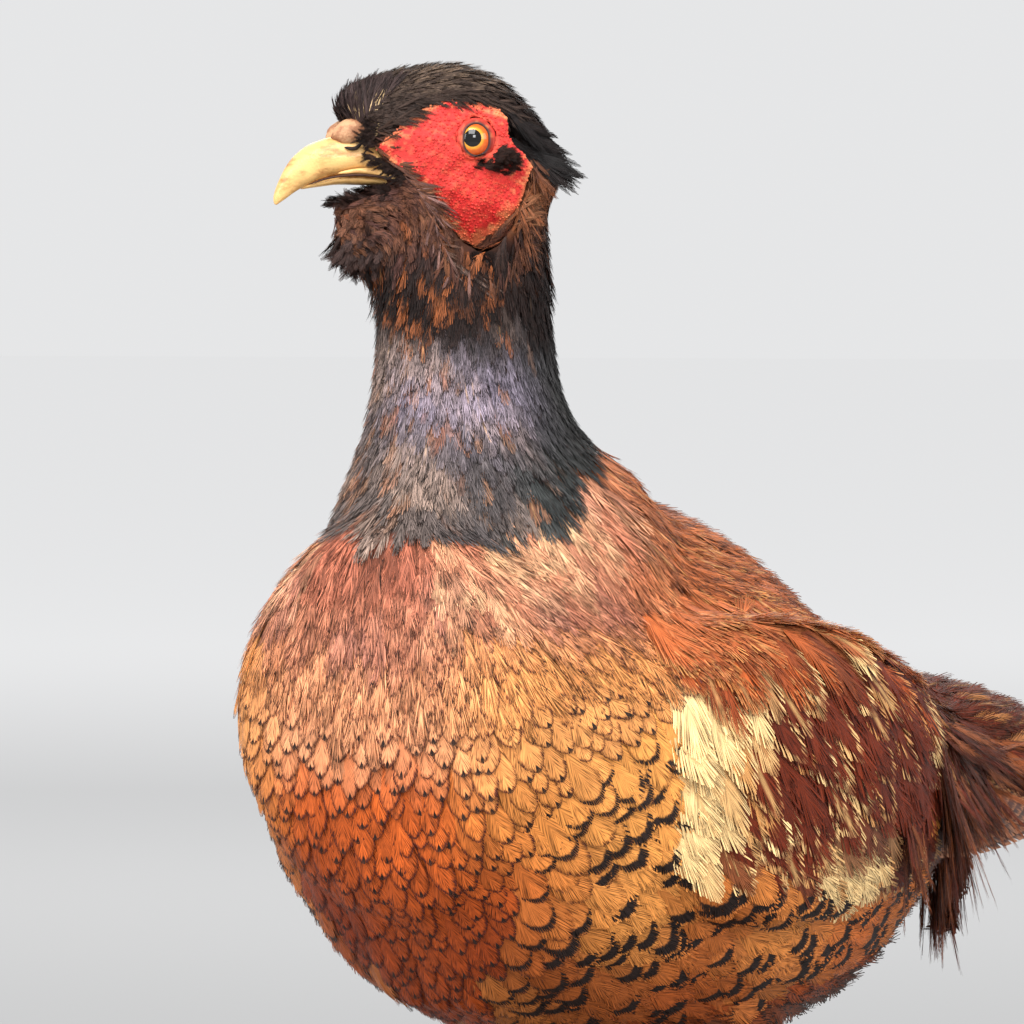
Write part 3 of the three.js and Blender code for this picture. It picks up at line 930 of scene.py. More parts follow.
@dataclass(frozen=True)
class FeatherFinish(Finish):
    """Vanes with barbs and markings, painted feather by feather."""

    dark: Array | tuple = (0.02, 0.012, 0.01)
    pale: Array | tuple = (0.62, 0.36, 0.14)
    lines: float = 40.0
    depth: float = 0.4
    slits: float = 0.6
    # how dark the gaps between the barbs are painted, as shade
    open_tip: float = 0.0
    specular: float = 0.14

    def make(self) -> bpy.types.Material:
        """Builds the material from the barb and marking groups.

        Returns:
            The material.
        """
        material, tree, shader = self.begin()
        barbs = place_group(tree, "Barbs", Lines=self.lines, Shift=paint(tree, "marks")[1])
        vane = place_group(tree, "Vane markings", Dark=self.dark, Pale=self.pale, Barb_shade=barbs["Shade"],
                           Barb_depth=self.depth, Slits=barbs["Slits"], Slit_depth=self.slits,
                           Open_tip=self.open_tip)
        feed(shader.inputs["Base Color"], vane["Color"])
        raise_bump(shader, barbs["Height"], 0.6, 0.0003)
        return material


@dataclass(frozen=True)
class BarredFinish(Finish):
    """Long stiff feathers crossed by dark bars, with hair-like coloured rims."""

    dark: Array | tuple = (0.02, 0.012, 0.01)
    share: float = 0.34
    sweep: float = 1.6
    wander: float = 0.7
    lines: float = 260.0
    specular: float = 0.3

    def make(self) -> bpy.types.Material:
        """Builds the material from the barb and bar groups.

        Returns:
            The material.
        """
        material, tree, shader = self.begin()
        marks, chance = paint(tree, "marks")
        rim_width, _, streak = channels(marks)
        barbs = place_group(tree, "Barbs", Lines=self.lines, Shift=chance)
        bars = place_group(tree, "Cross bars", Share=self.share, Sweep=self.sweep, Wander=self.wander)
        inner = 1.0 - rim_width
        edge = step_up(map_place(tree, "BarbUV")[0] + (barbs["Shade"] - 0.5), inner - 0.1, inner + 0.06)
        quill = step_up(abs(map_place(tree, "VaneUV")[0] - 0.5), 0.045, 0.02)
        tone = blend(bars["Mask"], paint(tree, "vane")[0], self.dark)
        tone = blend(edge * (rim_width > 0.01), tone, paint(tree, "rim")[0])
        tone = blend(quill * streak, tone, tint(168, 120, 78))
        feed(shader.inputs["Base Color"], shade(tone, 0.45 + barbs["Shade"] * 1.1))
        raise_bump(shader, barbs["Height"], 0.4, 0.0002)
        return material


@dataclass(frozen=True)
class TwoToneFinish(Finish):
    """A plain surface that wanders between two colours, such as horn, claw or scale."""

    first: Array | tuple = (0.7, 0.5, 0.25)
    second: Array | tuple = (0.4, 0.22, 0.1)
    blotch: float = 90.0
    grain: float = 1200.0
    bump: float = 0.25
    stretch: tuple[float, float, float] = (1.0, 1.0, 1.0)
    low: float = 0.42
    high: float = 0.62

    def make(self) -> bpy.types.Material:
        """Builds the material from stretched noise and a mottle.

        Returns:
            The material.
        """
        material, tree, shader = self.begin()
        chance = noise(object_place(tree, self.stretch), self.blotch, 5.0, 0.6)
        tone = blend(step_up(chance, self.low, self.high), self.first, self.second)
        colour, height = mottled(tone, self.blotch * 2, self.grain, 0.25)
        rough = new_node(tree, "ShaderNodeMapRange", Value=chance, To_Min=self.roughness - 0.1,
                         To_Max=self.roughness + 0.15)
        feed(shader.inputs["Base Color"], colour)
        feed(shader.inputs["Roughness"], rough.outputs[0])
        raise_bump(shader, height, self.bump, 0.0003)
        return material


@dataclass(frozen=True)
class PaintedFinish(Finish):
    """A surface whose colour was painted on its vertices, with grain over it."""

    blotch: float = 300.0
    grain: float = 2500.0
    depth: float = 0.35
    bump: float = 0.5
    relief: float = 0.0002

    def make(self) -> bpy.types.Material:
        """Builds the material from the painted colour and a mottle.

        Returns:
            The material.
        """
        material, tree, shader = self.begin()
        colour, height = mottled(paint(tree, "vane")[0], self.blotch, self.grain, self.depth)
        feed(shader.inputs["Base Color"], colour)
        raise_bump(shader, height, self.bump, self.relief)
        return material


@dataclass(frozen=True)
class WoodFinish(Finish):
    """Dark stained wood with long grain along Y under a satin varnish."""

    roughness: float = 0.32
    coat: float = 0.25
    grain: tuple[float, float, float] = (1.0, 0.09, 1.0)

    def make(self) -> bpy.types.Material:
        """Builds the material from waves and stretched noise.

        Returns:
            The material.
        """
        material, tree, shader = self.begin()
        place = object_place(tree, self.grain)
        rings = new_node(tree, "ShaderNodeTexWave", bands_direction="X", Vector=place, Scale=26.0,
                         Distortion=5.0, Detail=3.0)
        fibre = noise(place, 420.0, 3.0)
        tone = blend(Wire(rings.outputs["Fac"]), tint(70, 38, 22), tint(38, 20, 12))
        tone = blend(noise(place, 14.0, 4.0) * 0.5, tone, tint(96, 56, 30))
        feed(shader.inputs["Base Color"], blend(fibre * 0.35, tone, tint(20, 10, 6)))
        raise_bump(shader, fibre, 0.12, 0.0003)
        return material


@dataclass(frozen=True)
class EyeFinish(Finish):
    """A glass eye: a black pupil, a yellow inner ring and an orange iris under a clear dome."""

    hand: Hand = Hand.LEFT
    pupil: float = 2.3
    roughness: float = 0.06
    specular: float = 0.25
    coat: float = 0.35

    def make(self) -> bpy.types.Material:
        """Builds the material from the distance to the eye's own axis.

        Returns:
            The material.
        """
        material, tree, shader = self.begin()
        centre, look = EYE.centre(self.hand) * MM, EYE.look(self.hand)
        place = object_place(tree)
        aside = vector_maths("CROSS_PRODUCT", vector_maths("SUBTRACT", place, tuple(centre)), tuple(look))
        radius = vector_maths("LENGTH", aside) * (1 / MM)
        rings = new_node(tree, "ShaderNodeValToRGB", Fac=radius / EYE.radius)
        pupil_edge = self.pupil / EYE.radius
        stops = [
            (0.0, (0.002, 0.002, 0.002)), (pupil_edge, (0.003, 0.002, 0.002)),
            (pupil_edge + 0.02, tint(226, 160, 56)), (0.47, tint(222, 138, 42)), (0.54, tint(210, 96, 28)),
            (0.76, tint(184, 66, 22)), (0.86, tint(96, 26, 14)), (0.95, (0.012, 0.006, 0.005)),
        ]
        elements = rings.color_ramp.elements
        for element, (position, colour) in zip(elements, (stops[0], stops[-1])):
            element.position, element.color = position, (*colour, 1)
        for position, colour in stops[1:-1]:
            elements.new(position).color = (*colour, 1)
        level = 0.65 + noise(place, 1400.0, 3.0) * 0.7
        feed(shader.inputs["Base Color"], shade(Wire(rings.outputs[0]), level))
        return material


@dataclass(frozen=True)
class FloorFinish(Finish):
    """The plain studio floor, painted darker near its middle as shade and paler with the distance from it."""

    roughness: float = 0.95
    specular: float = 0.0
    # Painted shade: how dark the floor is painted near its middle, and how pale far out.
    near: float = 0.36
    far: float = 0.98

    def make(self) -> bpy.types.Material:
        """Builds the material from the distance to the middle of the floor.

        Returns:
            The material.
        """
        material, tree, shader = self.begin()
        share = step_up(vector_maths("LENGTH", object_place(tree)), 0.3, 4.5)
        feed(shader.inputs["Base Color"], blend(share, (self.near,) * 3, (self.far,) * 3))
        return material


# ---------------------------------------------------------------- the hide


FLESH = ("head", "neck_upper", "neck_lower", "breast", "trunk", "rump", "wing_left", "wing_right",
         "thigh_left", "thigh_right", "tail_coverts")
UNDER_SKIN = ("wattle_left", "wattle_right")
# Painted shade: the skin is painted in the colours of the feathers over it, darkened by this share, as it
# lies in their shade.
HIDE_SHADE = 0.55  # how bright the skin is beside the feathers over it


@dataclass
class Hide:
    """One skin over all the flesh nodes, inside them by the depth of the coat."""

    voxel: float = 2.1
    swell: float = 0.6
    rounds: int = 14
    points: Array = field(default=None, repr=False)

    def build(self) -> bpy.types.Object:
        """Builds the skin, keeps its shape for the feathers, and returns the object.

        Returns:
            The skin.
        """
        skin = softened("hide", FLESH + UNDER_SKIN, self.voxel, self.rounds, self.swell)
        self.sink(skin.data)
        return skin

    def sink(self, mesh: bpy.types.Mesh) -> None:
        """Moves the skin in by the depth of the coat at each point.

        Args:
            mesh: the mesh.
        """
        points = vertex_vectors(mesh, "co") / MM
        points = points - vertex_vectors(mesh, "normal") * (self.depth(points)[:, None] + self.swell)
        move_to(mesh, points)
        mesh.update()
        self.points = points
        polygons = [tuple(face.vertices) for face in mesh.polygons]
        self.tree = BVHTree.FromPolygons([Vector(point) for point in points], polygons)
        first = np.array([polygon[:3] for polygon in polygons])
        self.face_normals = unit(vertex_vectors(mesh, "normal")[first].sum(1))
        self.face_centres = points[first].mean(1)
        a, b = points[first[:, 1]] - points[first[:, 0]], points[first[:, 2]] - points[first[:, 0]]
        self.face_areas = np.linalg.norm(np.cross(a, b), axis=1)

    @staticmethod
    def depth(points: Array) -> Array:
        """How deep the skin lies under the tips of the coat, in millimetres.

        Args:
            points: places in millimetres.

        Returns:
            A depth for each point.
        """
        z = points[:, 2]
        depth = 0.9 + 0.9 * ramp(388, 360, z) + 0.5 * ramp(315, 280, z)
        ahead, left, up = HEAD.into(points).T
        cheek = ramp(1.06, 0.94, wattle_reach(ahead, up)) * ramp(5, 9, np.abs(left)) * ramp(366, 370, z)
        return depth + 2.6 * cheek

    def drop(self, points: Array) -> tuple[Array, Array]:
        """The nearest places on the skin to points, and the normals there.

        Args:
            points: places in millimetres.

        Returns:
            The places and their normals.
        """
        near = np.empty_like(points)
        faces = np.empty(len(points), int)
        for i, point in enumerate(points):
            near[i], _, faces[i], _ = self.tree.find_nearest(Vector(point))
        return near, self.face_normals[faces]


# ---------------------------------------------------------------- plumage colours


class Zone(Enum):
    """Where a feather grows, which settles its shape and the piece that it belongs to."""

    HEAD = 0
    NECK = 1
    BIB = 2
    BREAST = 3
    FLANK = 4
    BELLY = 5
    MANTLE = 6
    RUMP = 7
    WING_LEFT = 8
    WING_RIGHT = 9


def dye(red: float, green: float, blue: float) -> Array:
    """A dataclass field that holds the colour of a display's 0-255 numbers."""
    return field(default_factory=lambda: tint(red, green, blue))


@dataclass(frozen=True)
class Dyes:
    """The bird's feather colours, in linear light."""

    crown: Array = dye(56, 43, 37)
    # painted sheen: the lighter bronze painted on the top of the crown
    crown_painted_sheen: Array = dye(128, 106, 88)
    cheek: Array = dye(106, 66, 44)
    throat: Array = dye(74, 46, 40)
    nape: Array = dye(34, 22, 19)
    tan: Array = dye(156, 118, 92)
    rust: Array = dye(150, 84, 46)
    # painted sheen: the lighter lilac painted on the middle of the neck
    lilac: Array = dye(146, 134, 152)
    slate: Array = dye(80, 73, 72)
    smoke: Array = dye(150, 126, 112)
    teal: Array = dye(60, 65, 64)
    brick: Array = dye(176, 102, 78)
    salmon: Array = dye(190, 122, 92)
    pink: Array = dye(186, 122, 104)
    # partly the breast's copper and partly painted highlight, paler where the bulge of the breast is lit
    copper: Array = dye(214, 144, 102)
    orange: Array = dye(184, 84, 32)
    deep: Array = dye(108, 38, 14)
    plum: Array = dye(66, 28, 24)
    gold: Array = dye(222, 148, 74)
    soot: Array = dye(30, 17, 13)
    belly: Array = dye(82, 42, 22)
    mantle: Array = dye(198, 116, 70)
    chestnut: Array = dye(112, 42, 18)
    cream: Array = dye(236, 200, 140)
    maroon: Array = dye(92, 34, 18)
    buff: Array = dye(196, 134, 76)
    umber: Array = dye(78, 40, 26)


DYE = Dyes()


def wander(points: Array, size: float, seed: int) -> Array:
    """Smooth chance between 0 and 1 over space, with features about size across.

    Args:
        points: places in millimetres.
        size: how large the features are.
        seed: which pattern.

    Returns:
        A number for each point.
    """
    rng = np.random.default_rng(seed)
    total = np.zeros(len(points))
    for _ in range(5):
        direction = unit(rng.normal(size=3)) * rng.uniform(0.7, 1.5) * np.pi / size
        total += np.sin(points @ direction + rng.uniform(0, 2 * np.pi))
    return np.clip(0.5 + total / 5.2, 0, 1)


@dataclass
class Look:
    """The colours and marks of some feathers, before they become vertex colours."""

    vane: Array
    rim: Array
    rim_width: Array | float = 0.0
    bar: Array | float = 0.0
    streak: Array | float = 0.0
    notch: Array | float = 0.0
    reach: Array | float = 1.0

    def paints(self, rng: np.random.Generator, spread: float = 0.3) -> dict[str, Array]:
        """The vertex colours "vane", "rim" and "marks", each feather a little lighter or darker.

        Args:
            rng: the source of chance.
            spread: how much the feathers differ in brightness.

        Returns:
            Four numbers for each feather by name.
        """
        count = len(self.vane)
        column = [np.broadcast_to(np.asarray(part, float), (count,)) for part in
                  (self.notch, self.reach, self.rim_width, self.bar, self.streak)]
        level = 1 - spread / 2 + spread * rng.random((count, 1))
        rim = np.broadcast_to(self.rim, (count, 3))
        return {
            "vane": np.column_stack([self.vane * level, column[0]]),
            "rim": np.column_stack([rim * level, column[1]]),
            "marks": np.column_stack([column[2], column[3], column[4], rng.random(count)]),
        }


class Plumage:
    """What grows where: zones, sizes and colours as functions of the place on the skin."""

    @staticmethod
    def collar(points: Array) -> Array:
        """How far above the ragged lower edge of the dark neck a point lies.

        Args:
            points: places in millimetres.

        Returns:
            A height for each point.
        """
        x, y, z = points.T
        away = unit(np.stack([x, y + 56, np.zeros_like(x)], 1))
        front = away @ np.array([0.34, -0.94, 0])
        aside = away @ np.array([0.82, 0.57, 0])
        ragged = 6 * (wander(points, 9, 3) - 0.5)
        edge = 299 + 8 * (1 - front) + 5 * ramp(-0.1, 0.6, aside) + 9 * ramp(0.4, 0.95, aside) + ragged
        return z - edge

    @staticmethod
    def barring(points: Array) -> Array:
        """How far into the black-barred flanks a point lies, below 0 on the breast.

        Args:
            points: places in millimetres.

        Returns:
            A distance for each point.
        """
        x, y, z = points.T
        inside = np.abs(x) + 0.55 * (250 - z) - 55 + 6 * (wander(points, 14, 6) - 0.5)
        return np.where((z < 256) & (y > -112), inside, -1.0)

    def zone(self, points: Array) -> Array:
        """The zone number of each point.

        Args:
            points: places in millimetres.

        Returns:
            The number of a zone for each point.
        """
        x, y, z = points.T
        side = np.abs(x)
        zone = np.full(len(points), Zone.BREAST.value)
        zone[z > 258 + 0.12 * side + 5 * (wander(points, 16, 5) - 0.5)] = Zone.BIB.value
        flank = (self.barring(points) > 0) | ((y > -30) & (z < 188))
        zone[flank] = Zone.FLANK.value
        zone[(z < 168 + 0.12 * np.maximum(y, 0)) & (y > -52)] = Zone.BELLY.value
        zone[(y > 84) & (z < 196)] = Zone.BELLY.value
        mantle = (y > -56 + 0.35 * (side - 30)) & (z > 262 - 0.3 * np.maximum(y + 20, 0)) & (y < 62)
        zone[mantle] = Zone.MANTLE.value
        zone[(y + 8 * (wander(points, 12, 9) - 0.5) >= 62) & (z > 192)] = Zone.RUMP.value
        zone[y > 128] = Zone.RUMP.value
        wing_top = 274 - 0.28 * np.maximum(y + 10, 0) - 0.3 * np.maximum(-30 - y, 0)
        wing_low = 203 + 0.32 * np.maximum(-8 - y, 0)
        wing = (side > 54 - 0.2 * np.maximum(y + 10, 0)) & (y > -66)
        wing &= y + 10 * (wander(points, 10, 8) - 0.5) < 62
        wing &= (z < wing_top) & (z > wing_low)
        zone[wing & (x > 0)] = Zone.WING_LEFT.value
        zone[wing & (x < 0)] = Zone.WING_RIGHT.value
        zone[(self.collar(points) > 0) & (y < 10)] = Zone.NECK.value
        zone[z > 372] = Zone.HEAD.value
        return zone

    def spacing(self, points: Array) -> Array:
        """The distance between feather roots, in millimetres.

        Args:
            points: places in millimetres.

        Returns:
            A distance for each point.
        """
        _, y, z = points.T
        ahead, _, up = HEAD.into(points).T
        zone = self.zone(points)
        gap = 5.6 - 0.8 * ramp(-40, -80, y) - 1.2 * ramp(250, 286, z)
        gap = np.where(zone == Zone.FLANK.value, 5.8, gap)
        gap = gap - 0.5 * ramp(60, 110, y)
        neck = 3.2 - 0.6 * ramp(300, 345, z)
        gap = np.where(self.collar(points) > 0, neck, gap)
        head = 2.7 - 0.7 * ramp(372, 384, z) - 0.4 * ramp(6, 24, ahead) * ramp(-22, -10, up)
        gap = np.where(z > 364, head, gap)
        gap = np.where((zone == Zone.WING_LEFT.value) | (zone == Zone.WING_RIGHT.value), 7.2, gap)
        return np.where(z < 150, np.minimum(gap, 5.6), gap)

    @staticmethod
    def bare(points: Array) -> Array:
        """Whether no feather grows at a point: the cheeks, the bill and below the hocks.

        Args:
            points: places in millimetres.

        Returns:
            Yes or no for each point.
        """
        ahead, left, up = HEAD.into(points).T
        cheek = (wattle_reach(ahead, up) < 0.95) & (np.abs(left) > 6) & (points[:, 2] > 368)
        bill = (ahead > horn_back(up)) & (up < 3) & (up > -14)
        return cheek | bill | (points[:, 2] < 104)

    @staticmethod
    def looseness(points: Array) -> Array:
        """How much more the feathers stand off the body than usual.

        Args:
            points: places in millimetres.

        Returns:
            A factor for each point.
        """
        x, y, z = points.T
        ahead, _, up = HEAD.into(points).T
        throat = ramp(8, 20, ahead) * ramp(-14, -20, up) * ramp(-44, -36, up)
        behind = ramp(-6, -16, ahead) * ramp(-10, -20, up) * ramp(-40, -32, up)
        vent = ramp(215, 195, z) * ramp(110, 150, y)
        front = bump_at(-38, 22, y) * bump_at(228, 30, z) * ramp(52, 60, np.abs(x))
        lap = bump_at(-34, 34, y) * bump_at(202, 12, z) * ramp(52, 62, np.abs(x))
        crown = ramp(6, 14, up) * ramp(-22, -12, ahead)
        return 1 + 1.6 * throat + 1.0 * behind + 0.8 * vent + 0.5 * front + 0.8 * lap + 1.3 * crown

    def colours(self, points: Array, tips: Array, rng: np.random.Generator) -> dict[str, Array]:
        """Colours and marks of feathers.

        Args:
            points: their roots.
            tips: where their tips lie, which is what shows.
            rng: the source of chance.

        Returns:
            Arrays "vane", "rim" and "marks" of four numbers for each feather.
        """
        dressers = {
            Zone.HEAD: self.head, Zone.NECK: self.neck, Zone.BIB: self.bib, Zone.BREAST: self.breast,
            Zone.FLANK: self.flank, Zone.BELLY: self.belly, Zone.MANTLE: self.mantle,
            Zone.RUMP: self.rump, Zone.WING_LEFT: self.wing, Zone.WING_RIGHT: self.wing,
        }
        zones = self.zone(points)
        paints = {key: np.zeros((len(points), 4)) for key in ("vane", "rim", "marks")}
        for zone, dresser in dressers.items():
            chosen = zones == zone.value
            if chosen.any():
                look = dresser(tips[chosen], rng.random((4, int(chosen.sum()))))
                for key, value in look.paints(rng).items():
                    paints[key][chosen] = value
        return paints

    @staticmethod
    def head(tips: Array, chance: Array) -> Look:
        """Brown-black crown with a painted bronze sheen towards its top, hair-brown cheeks and a dusky
        throat.

        Args:
            tips: where the tips of the feathers lie.
            chance: four random numbers for each feather.

        Returns:
            The colours and marks.
        """
        ahead, _, up = HEAD.into(tips).T
        # Painted sheen: feathers on the top of the crown are mixed towards a lighter bronze, where light
        # falls on them.
        vane = mix(DYE.crown, DYE.crown_painted_sheen, 0.75 * chance[0] * ramp(6, 18, up) * ramp(26, 10, ahead))
        low = mix(DYE.throat, DYE.cheek, np.clip(chance[1] * 0.5 - 0.35 + 0.9 * wander(tips, 6, 8), 0, 1))
        vane = mix(vane, low, ramp(0, -9, up))
        vane = mix(vane, DYE.soot, 0.8 * ramp(-2, -8, ahead) * ramp(12, 6, up) * ramp(-9, -4, up))
        hairy = ramp(-2, -10, ahead) * ramp(-8, -14, up) * ramp(-31, -24, up)
        vane = mix(vane, mix(DYE.cheek, DYE.rust, 0.6 * chance[2]), 0.8 * hairy)
        fleck = (chance[2] > 0.7) * ramp(-14, -24, up) * ramp(0.5, 0.75, wander(tips, 5, 10))
        vane = mix(vane, DYE.rust, 0.5 * fleck)
        edge = -30 + 6 * ramp(4, -6, ahead)
        vane = mix(vane, DYE.nape, 0.92 * ramp(edge, edge - 9, up) * (chance[3] > 0.2))
        return Look(vane, DYE.soot, 0.08 * (chance[1] > 0.6))

    def neck(self, tips: Array, chance: Array) -> Look:
        """Brown-black above, grey in the middle with a painted lilac sheen where it faces forward and left,
        smoke grey and teal below.

        Args:
            tips: where the tips of the feathers lie.
            chance: four random numbers for each feather.

        Returns:
            The colours and marks.
        """
        x, y, z = tips.T
        away = unit(np.stack([x, y + 60, np.zeros_like(x)], 1))
        left_front = away @ np.array([0.6, -0.8, 0])
        right_front = away @ np.array([-0.25, -0.97, 0])
        back = away @ np.array([0.15, 0.99, 0])
        sheen = wander(tips, 11, 21)
        light = ramp(0.35, 0.7, wander(tips, 13, 22)) * (0.3 + 0.7 * chance[2]) * ramp(-0.1, 0.5, right_front)
        grey = mix(DYE.slate, DYE.smoke, np.clip(light + 0.25 * ramp(0.6, 0.95, right_front), 0, 0.9))
        # Painted sheen: a lighter lilac on the middle of the neck, where it faces forward and to the left.
        lilac = bump_at(329, 11, z) * ramp(0.45, 0.85, left_front) * (0.3 + 0.7 * sheen)
        grey = mix(grey, DYE.lilac, np.clip(0.8 * lilac + 0.2 * chance[0] * bump_at(330, 18, z), 0, 1))
        cold = 0.85 * ramp(320, 306, z) * ramp(0.5, 0.05, right_front - 0.6 * (sheen - 0.5))
        grey = mix(grey, DYE.teal, cold)
        grey = mix(grey, mix(DYE.slate, DYE.nape, 0.6), 0.75 * ramp(0.1, 0.6, back))
        flank = away @ np.array([0.82, 0.57, 0])
        grey = mix(grey, mix(DYE.teal, DYE.nape, 0.4), 0.8 * ramp(0.3, 0.8, flank + 0.3 * (sheen - 0.5)))
        edge = 345 + 6 * (wander(tips, 10, 24) - 0.5) - 12 * ramp(0.3, -0.3, left_front)
        grey = mix(grey, DYE.nape, ramp(edge - 5, edge + 5, z))
        warm = ramp(0.5, 0.95, right_front) * ramp(0.45, 0.75, wander(tips, 6, 23))
        fleck = np.clip(warm * (chance[1] > 0.6) + (chance[1] > 0.94), 0, 1) * ramp(290, 300, z)
        rusty = (chance[1] > 0.72) * bump_at(354, 12, z) * ramp(0.4, 0.7, sheen) * ramp(0.1, 0.7, right_front)
        fleck = np.maximum(fleck, rusty)
        warm_tint = mix(mix(DYE.tan, DYE.rust, chance[2]), DYE.rust, ramp(338, 350, z))
        vane = mix(grey, warm_tint, 0.7 * fleck * ramp(0.9, 0.2, back) * ramp(0.85, 0.4, flank))
        return Look(vane, DYE.nape, 0.12 * (chance[3] > 0.75), streak=0.5 * (chance[0] > 0.9) * light)

    @staticmethod
    def ventral(tips: Array) -> Array:
        """The ground colour of the whole breast, from brick and pink above to deep orange below, with a
        painted highlight in the copper band and a painted shadow low on the bird's right.

        Args:
            tips: where the tips of the feathers lie.

        Returns:
            A colour for each feather.
        """
        x, _, z = tips.T
        vane = mix(np.broadcast_to(DYE.brick, tips.shape), DYE.salmon, ramp(284, 262, z))
        vane = mix(vane, DYE.pink, 0.7 * ramp(0.5, 0.85, wander(tips, 16, 31)) * ramp(236, 262, z))
        # Painted highlight: the pale copper band across the bulge of the breast is partly its own colour and
        # partly painted light.
        vane = mix(vane, DYE.copper, ramp(262, 246, z + 6 * (wander(tips, 15, 34) - 0.5)))
        vane = mix(vane, DYE.orange, ramp(240, 218, z + 6 * (wander(tips, 12, 35) - 0.5)))
        vane = mix(vane, DYE.deep, (0.35 + 0.4 * wander(tips, 20, 33)) * ramp(214, 186, z))
        # Painted shadow: deeper orange low on the bird's right side of the breast.
        vane = mix(vane, DYE.deep, 0.5 * ramp(14, -30, x) * ramp(232, 206, z))
        return mix(vane, DYE.gold, 0.7 * ramp(18, 50, np.abs(x)) * ramp(196, 220, z) * ramp(272, 256, z))

    @classmethod
    def bib(cls, tips: Array, chance: Array) -> Look:
        """Brick and coppery pink with narrow, hair-like vanes, and cream by the shoulders.

        Args:
            tips: where the tips of the feathers lie.
            chance: four random numbers for each feather.

        Returns:
            The colours and marks.
        """
        x, y, z = tips.T
        side = np.abs(x)
        vane = mix(cls.ventral(tips), DYE.umber, 0.55 * (chance[0] > 0.68) * ramp(262, 284, z))
        shoulder = ramp(34, 50, side) * ramp(-66, -48, y)
        vane = mix(vane, mix(DYE.mantle, DYE.buff, 0.5 * chance[2]), 0.7 * shoulder * ramp(292, 278, z))
        under = cls.collar(tips)
        light = ramp(-42, -20, under) * ramp(16, 30, side) * (0.3 + 0.7 * (chance[1] > 0.3))
        vane = mix(vane, mix(tint(236, 190, 142), DYE.salmon, 0.9 * chance[2]), 0.75 * light)
        notch = 0.8 * (chance[2] > 0.4) * ramp(292, 266, z)
        return Look(vane, DYE.plum, 0.07 * ramp(280, 262, z), notch=notch)

    @classmethod
    def breast(cls, tips: Array, chance: Array) -> Look:
        """Copper scales with thin plum edges and dark notches, deepening to orange below.

        Args:
            tips: where the tips of the feathers lie.
            chance: four random numbers for each feather.

        Returns:
            The colours and marks.
        """
        z = tips[:, 2]
        edge = 0.06 + 0.03 * ramp(250, 225, z)
        return Look(cls.ventral(tips), DYE.plum, edge, notch=1.0 * (chance[0] > 0.2))

    @classmethod
    def flank(cls, tips: Array, chance: Array) -> Look:
        """Golden feathers that end in bold black bars, larger and blacker further back.

        Args:
            tips: where the tips of the feathers lie.
            chance: four random numbers for each feather.

        Returns:
            The colours and marks.
        """
        x, y, z = tips.T
        bold = ramp(0, 26, cls.barring(tips)) * ramp(-94, -60, y)
        vane = mix(cls.ventral(tips), mix(DYE.gold, DYE.buff, 0.2 * chance[3]), 0.9 * ramp(-94, -66, y))
        vane = mix(vane, DYE.orange, np.clip(0.7 * ramp(216, 186, z) * (0.1 + wander(tips, 20, 41)), 0, 1))
        vane = mix(vane, DYE.deep, 0.6 * ramp(196, 176, z) * ramp(66, 36, np.abs(x)))
        low = bold * ramp(228, 204, z)
        shown = 0.45 * chance[1] + 0.55 * wander(tips, 9, 42) > 0.35 + 0.13 * low
        bar = (0.28 + 0.22 * bold + 0.5 * low * (0.5 + 0.5 * chance[0])) * shown
        return Look(vane, DYE.umber, 0.05 * (1 - bold), bar=bar)

    @staticmethod
    def belly(tips: Array, chance: Array) -> Look:
        """Dark brown down the middle and under the tail, tawny on the thighs.

        Args:
            tips: where the tips of the feathers lie.
            chance: four random numbers for each feather.

        Returns:
            The colours and marks.
        """
        x, y, z = tips.T
        side = np.abs(x)
        vane = mix(DYE.belly, DYE.soot, np.clip(0.5 * ramp(34, 0, side) + 0.3 * chance[0], 0, 0.8))
        vane = mix(vane, DYE.orange, 0.75 * ramp(150, 172, z) * ramp(16, 46, side) * ramp(90, 40, y))
        vane = mix(vane, mix(DYE.maroon, DYE.mantle, 0.4 * chance[2]), 0.8 * ramp(84, 120, y))
        bar = 0.5 * chance[1] * ramp(25, 50, side) * ramp(150, 165, z)
        return Look(vane, DYE.soot, 0.16, bar=bar)

    @staticmethod
    def mantle(tips: Array, chance: Array) -> Look:
        """Copper to chestnut hair-like feathers with buff streaks on the shoulders.

        Args:
            tips: where the tips of the feathers lie.
            chance: four random numbers for each feather.

        Returns:
            The colours and marks.
        """
        x, y, z = tips.T
        side = np.abs(x)
        vane = mix(DYE.mantle, DYE.chestnut, np.clip(0.02 + 0.45 * chance[1] + 0.55 * ramp(6, 66, y), 0, 1))
        vane = mix(vane, mix(DYE.salmon, DYE.copper, 0.5), 0.7 * ramp(-24, -56, y) * ramp(262, 280, z))
        vane = mix(vane, DYE.umber, 0.45 * ramp(44, 20, side) * chance[0])
        pale = (chance[3] > 0.84) * ramp(26, 46, side)
        rim = mix(np.broadcast_to(DYE.umber, vane.shape), DYE.buff, pale)
        return Look(vane, rim, 0.1 + 0.2 * pale, streak=0.5 * (chance[2] > 0.8) * ramp(24, 44, side))

    @staticmethod
    def rump(tips: Array, chance: Array) -> Look:
        """Maroon-brown hair-like feathers with a little buff.

        Args:
            tips: where the tips of the feathers lie.
            chance: four random numbers for each feather.

        Returns:
            The colours and marks.
        """
        y, z = tips[:, 1], tips[:, 2]
        vane = mix(mix(DYE.maroon, DYE.umber, chance[0]), DYE.chestnut, 0.5 * ramp(140, 200, y))
        vane = mix(vane, DYE.chestnut, 0.6 * (chance[3] > 0.5) * ramp(246, 226, z))
        vane = mix(vane, DYE.buff, 0.5 * (chance[1] > 0.88))
        return Look(vane, DYE.umber, 0.25, streak=0.35 * (chance[2] > 0.8))

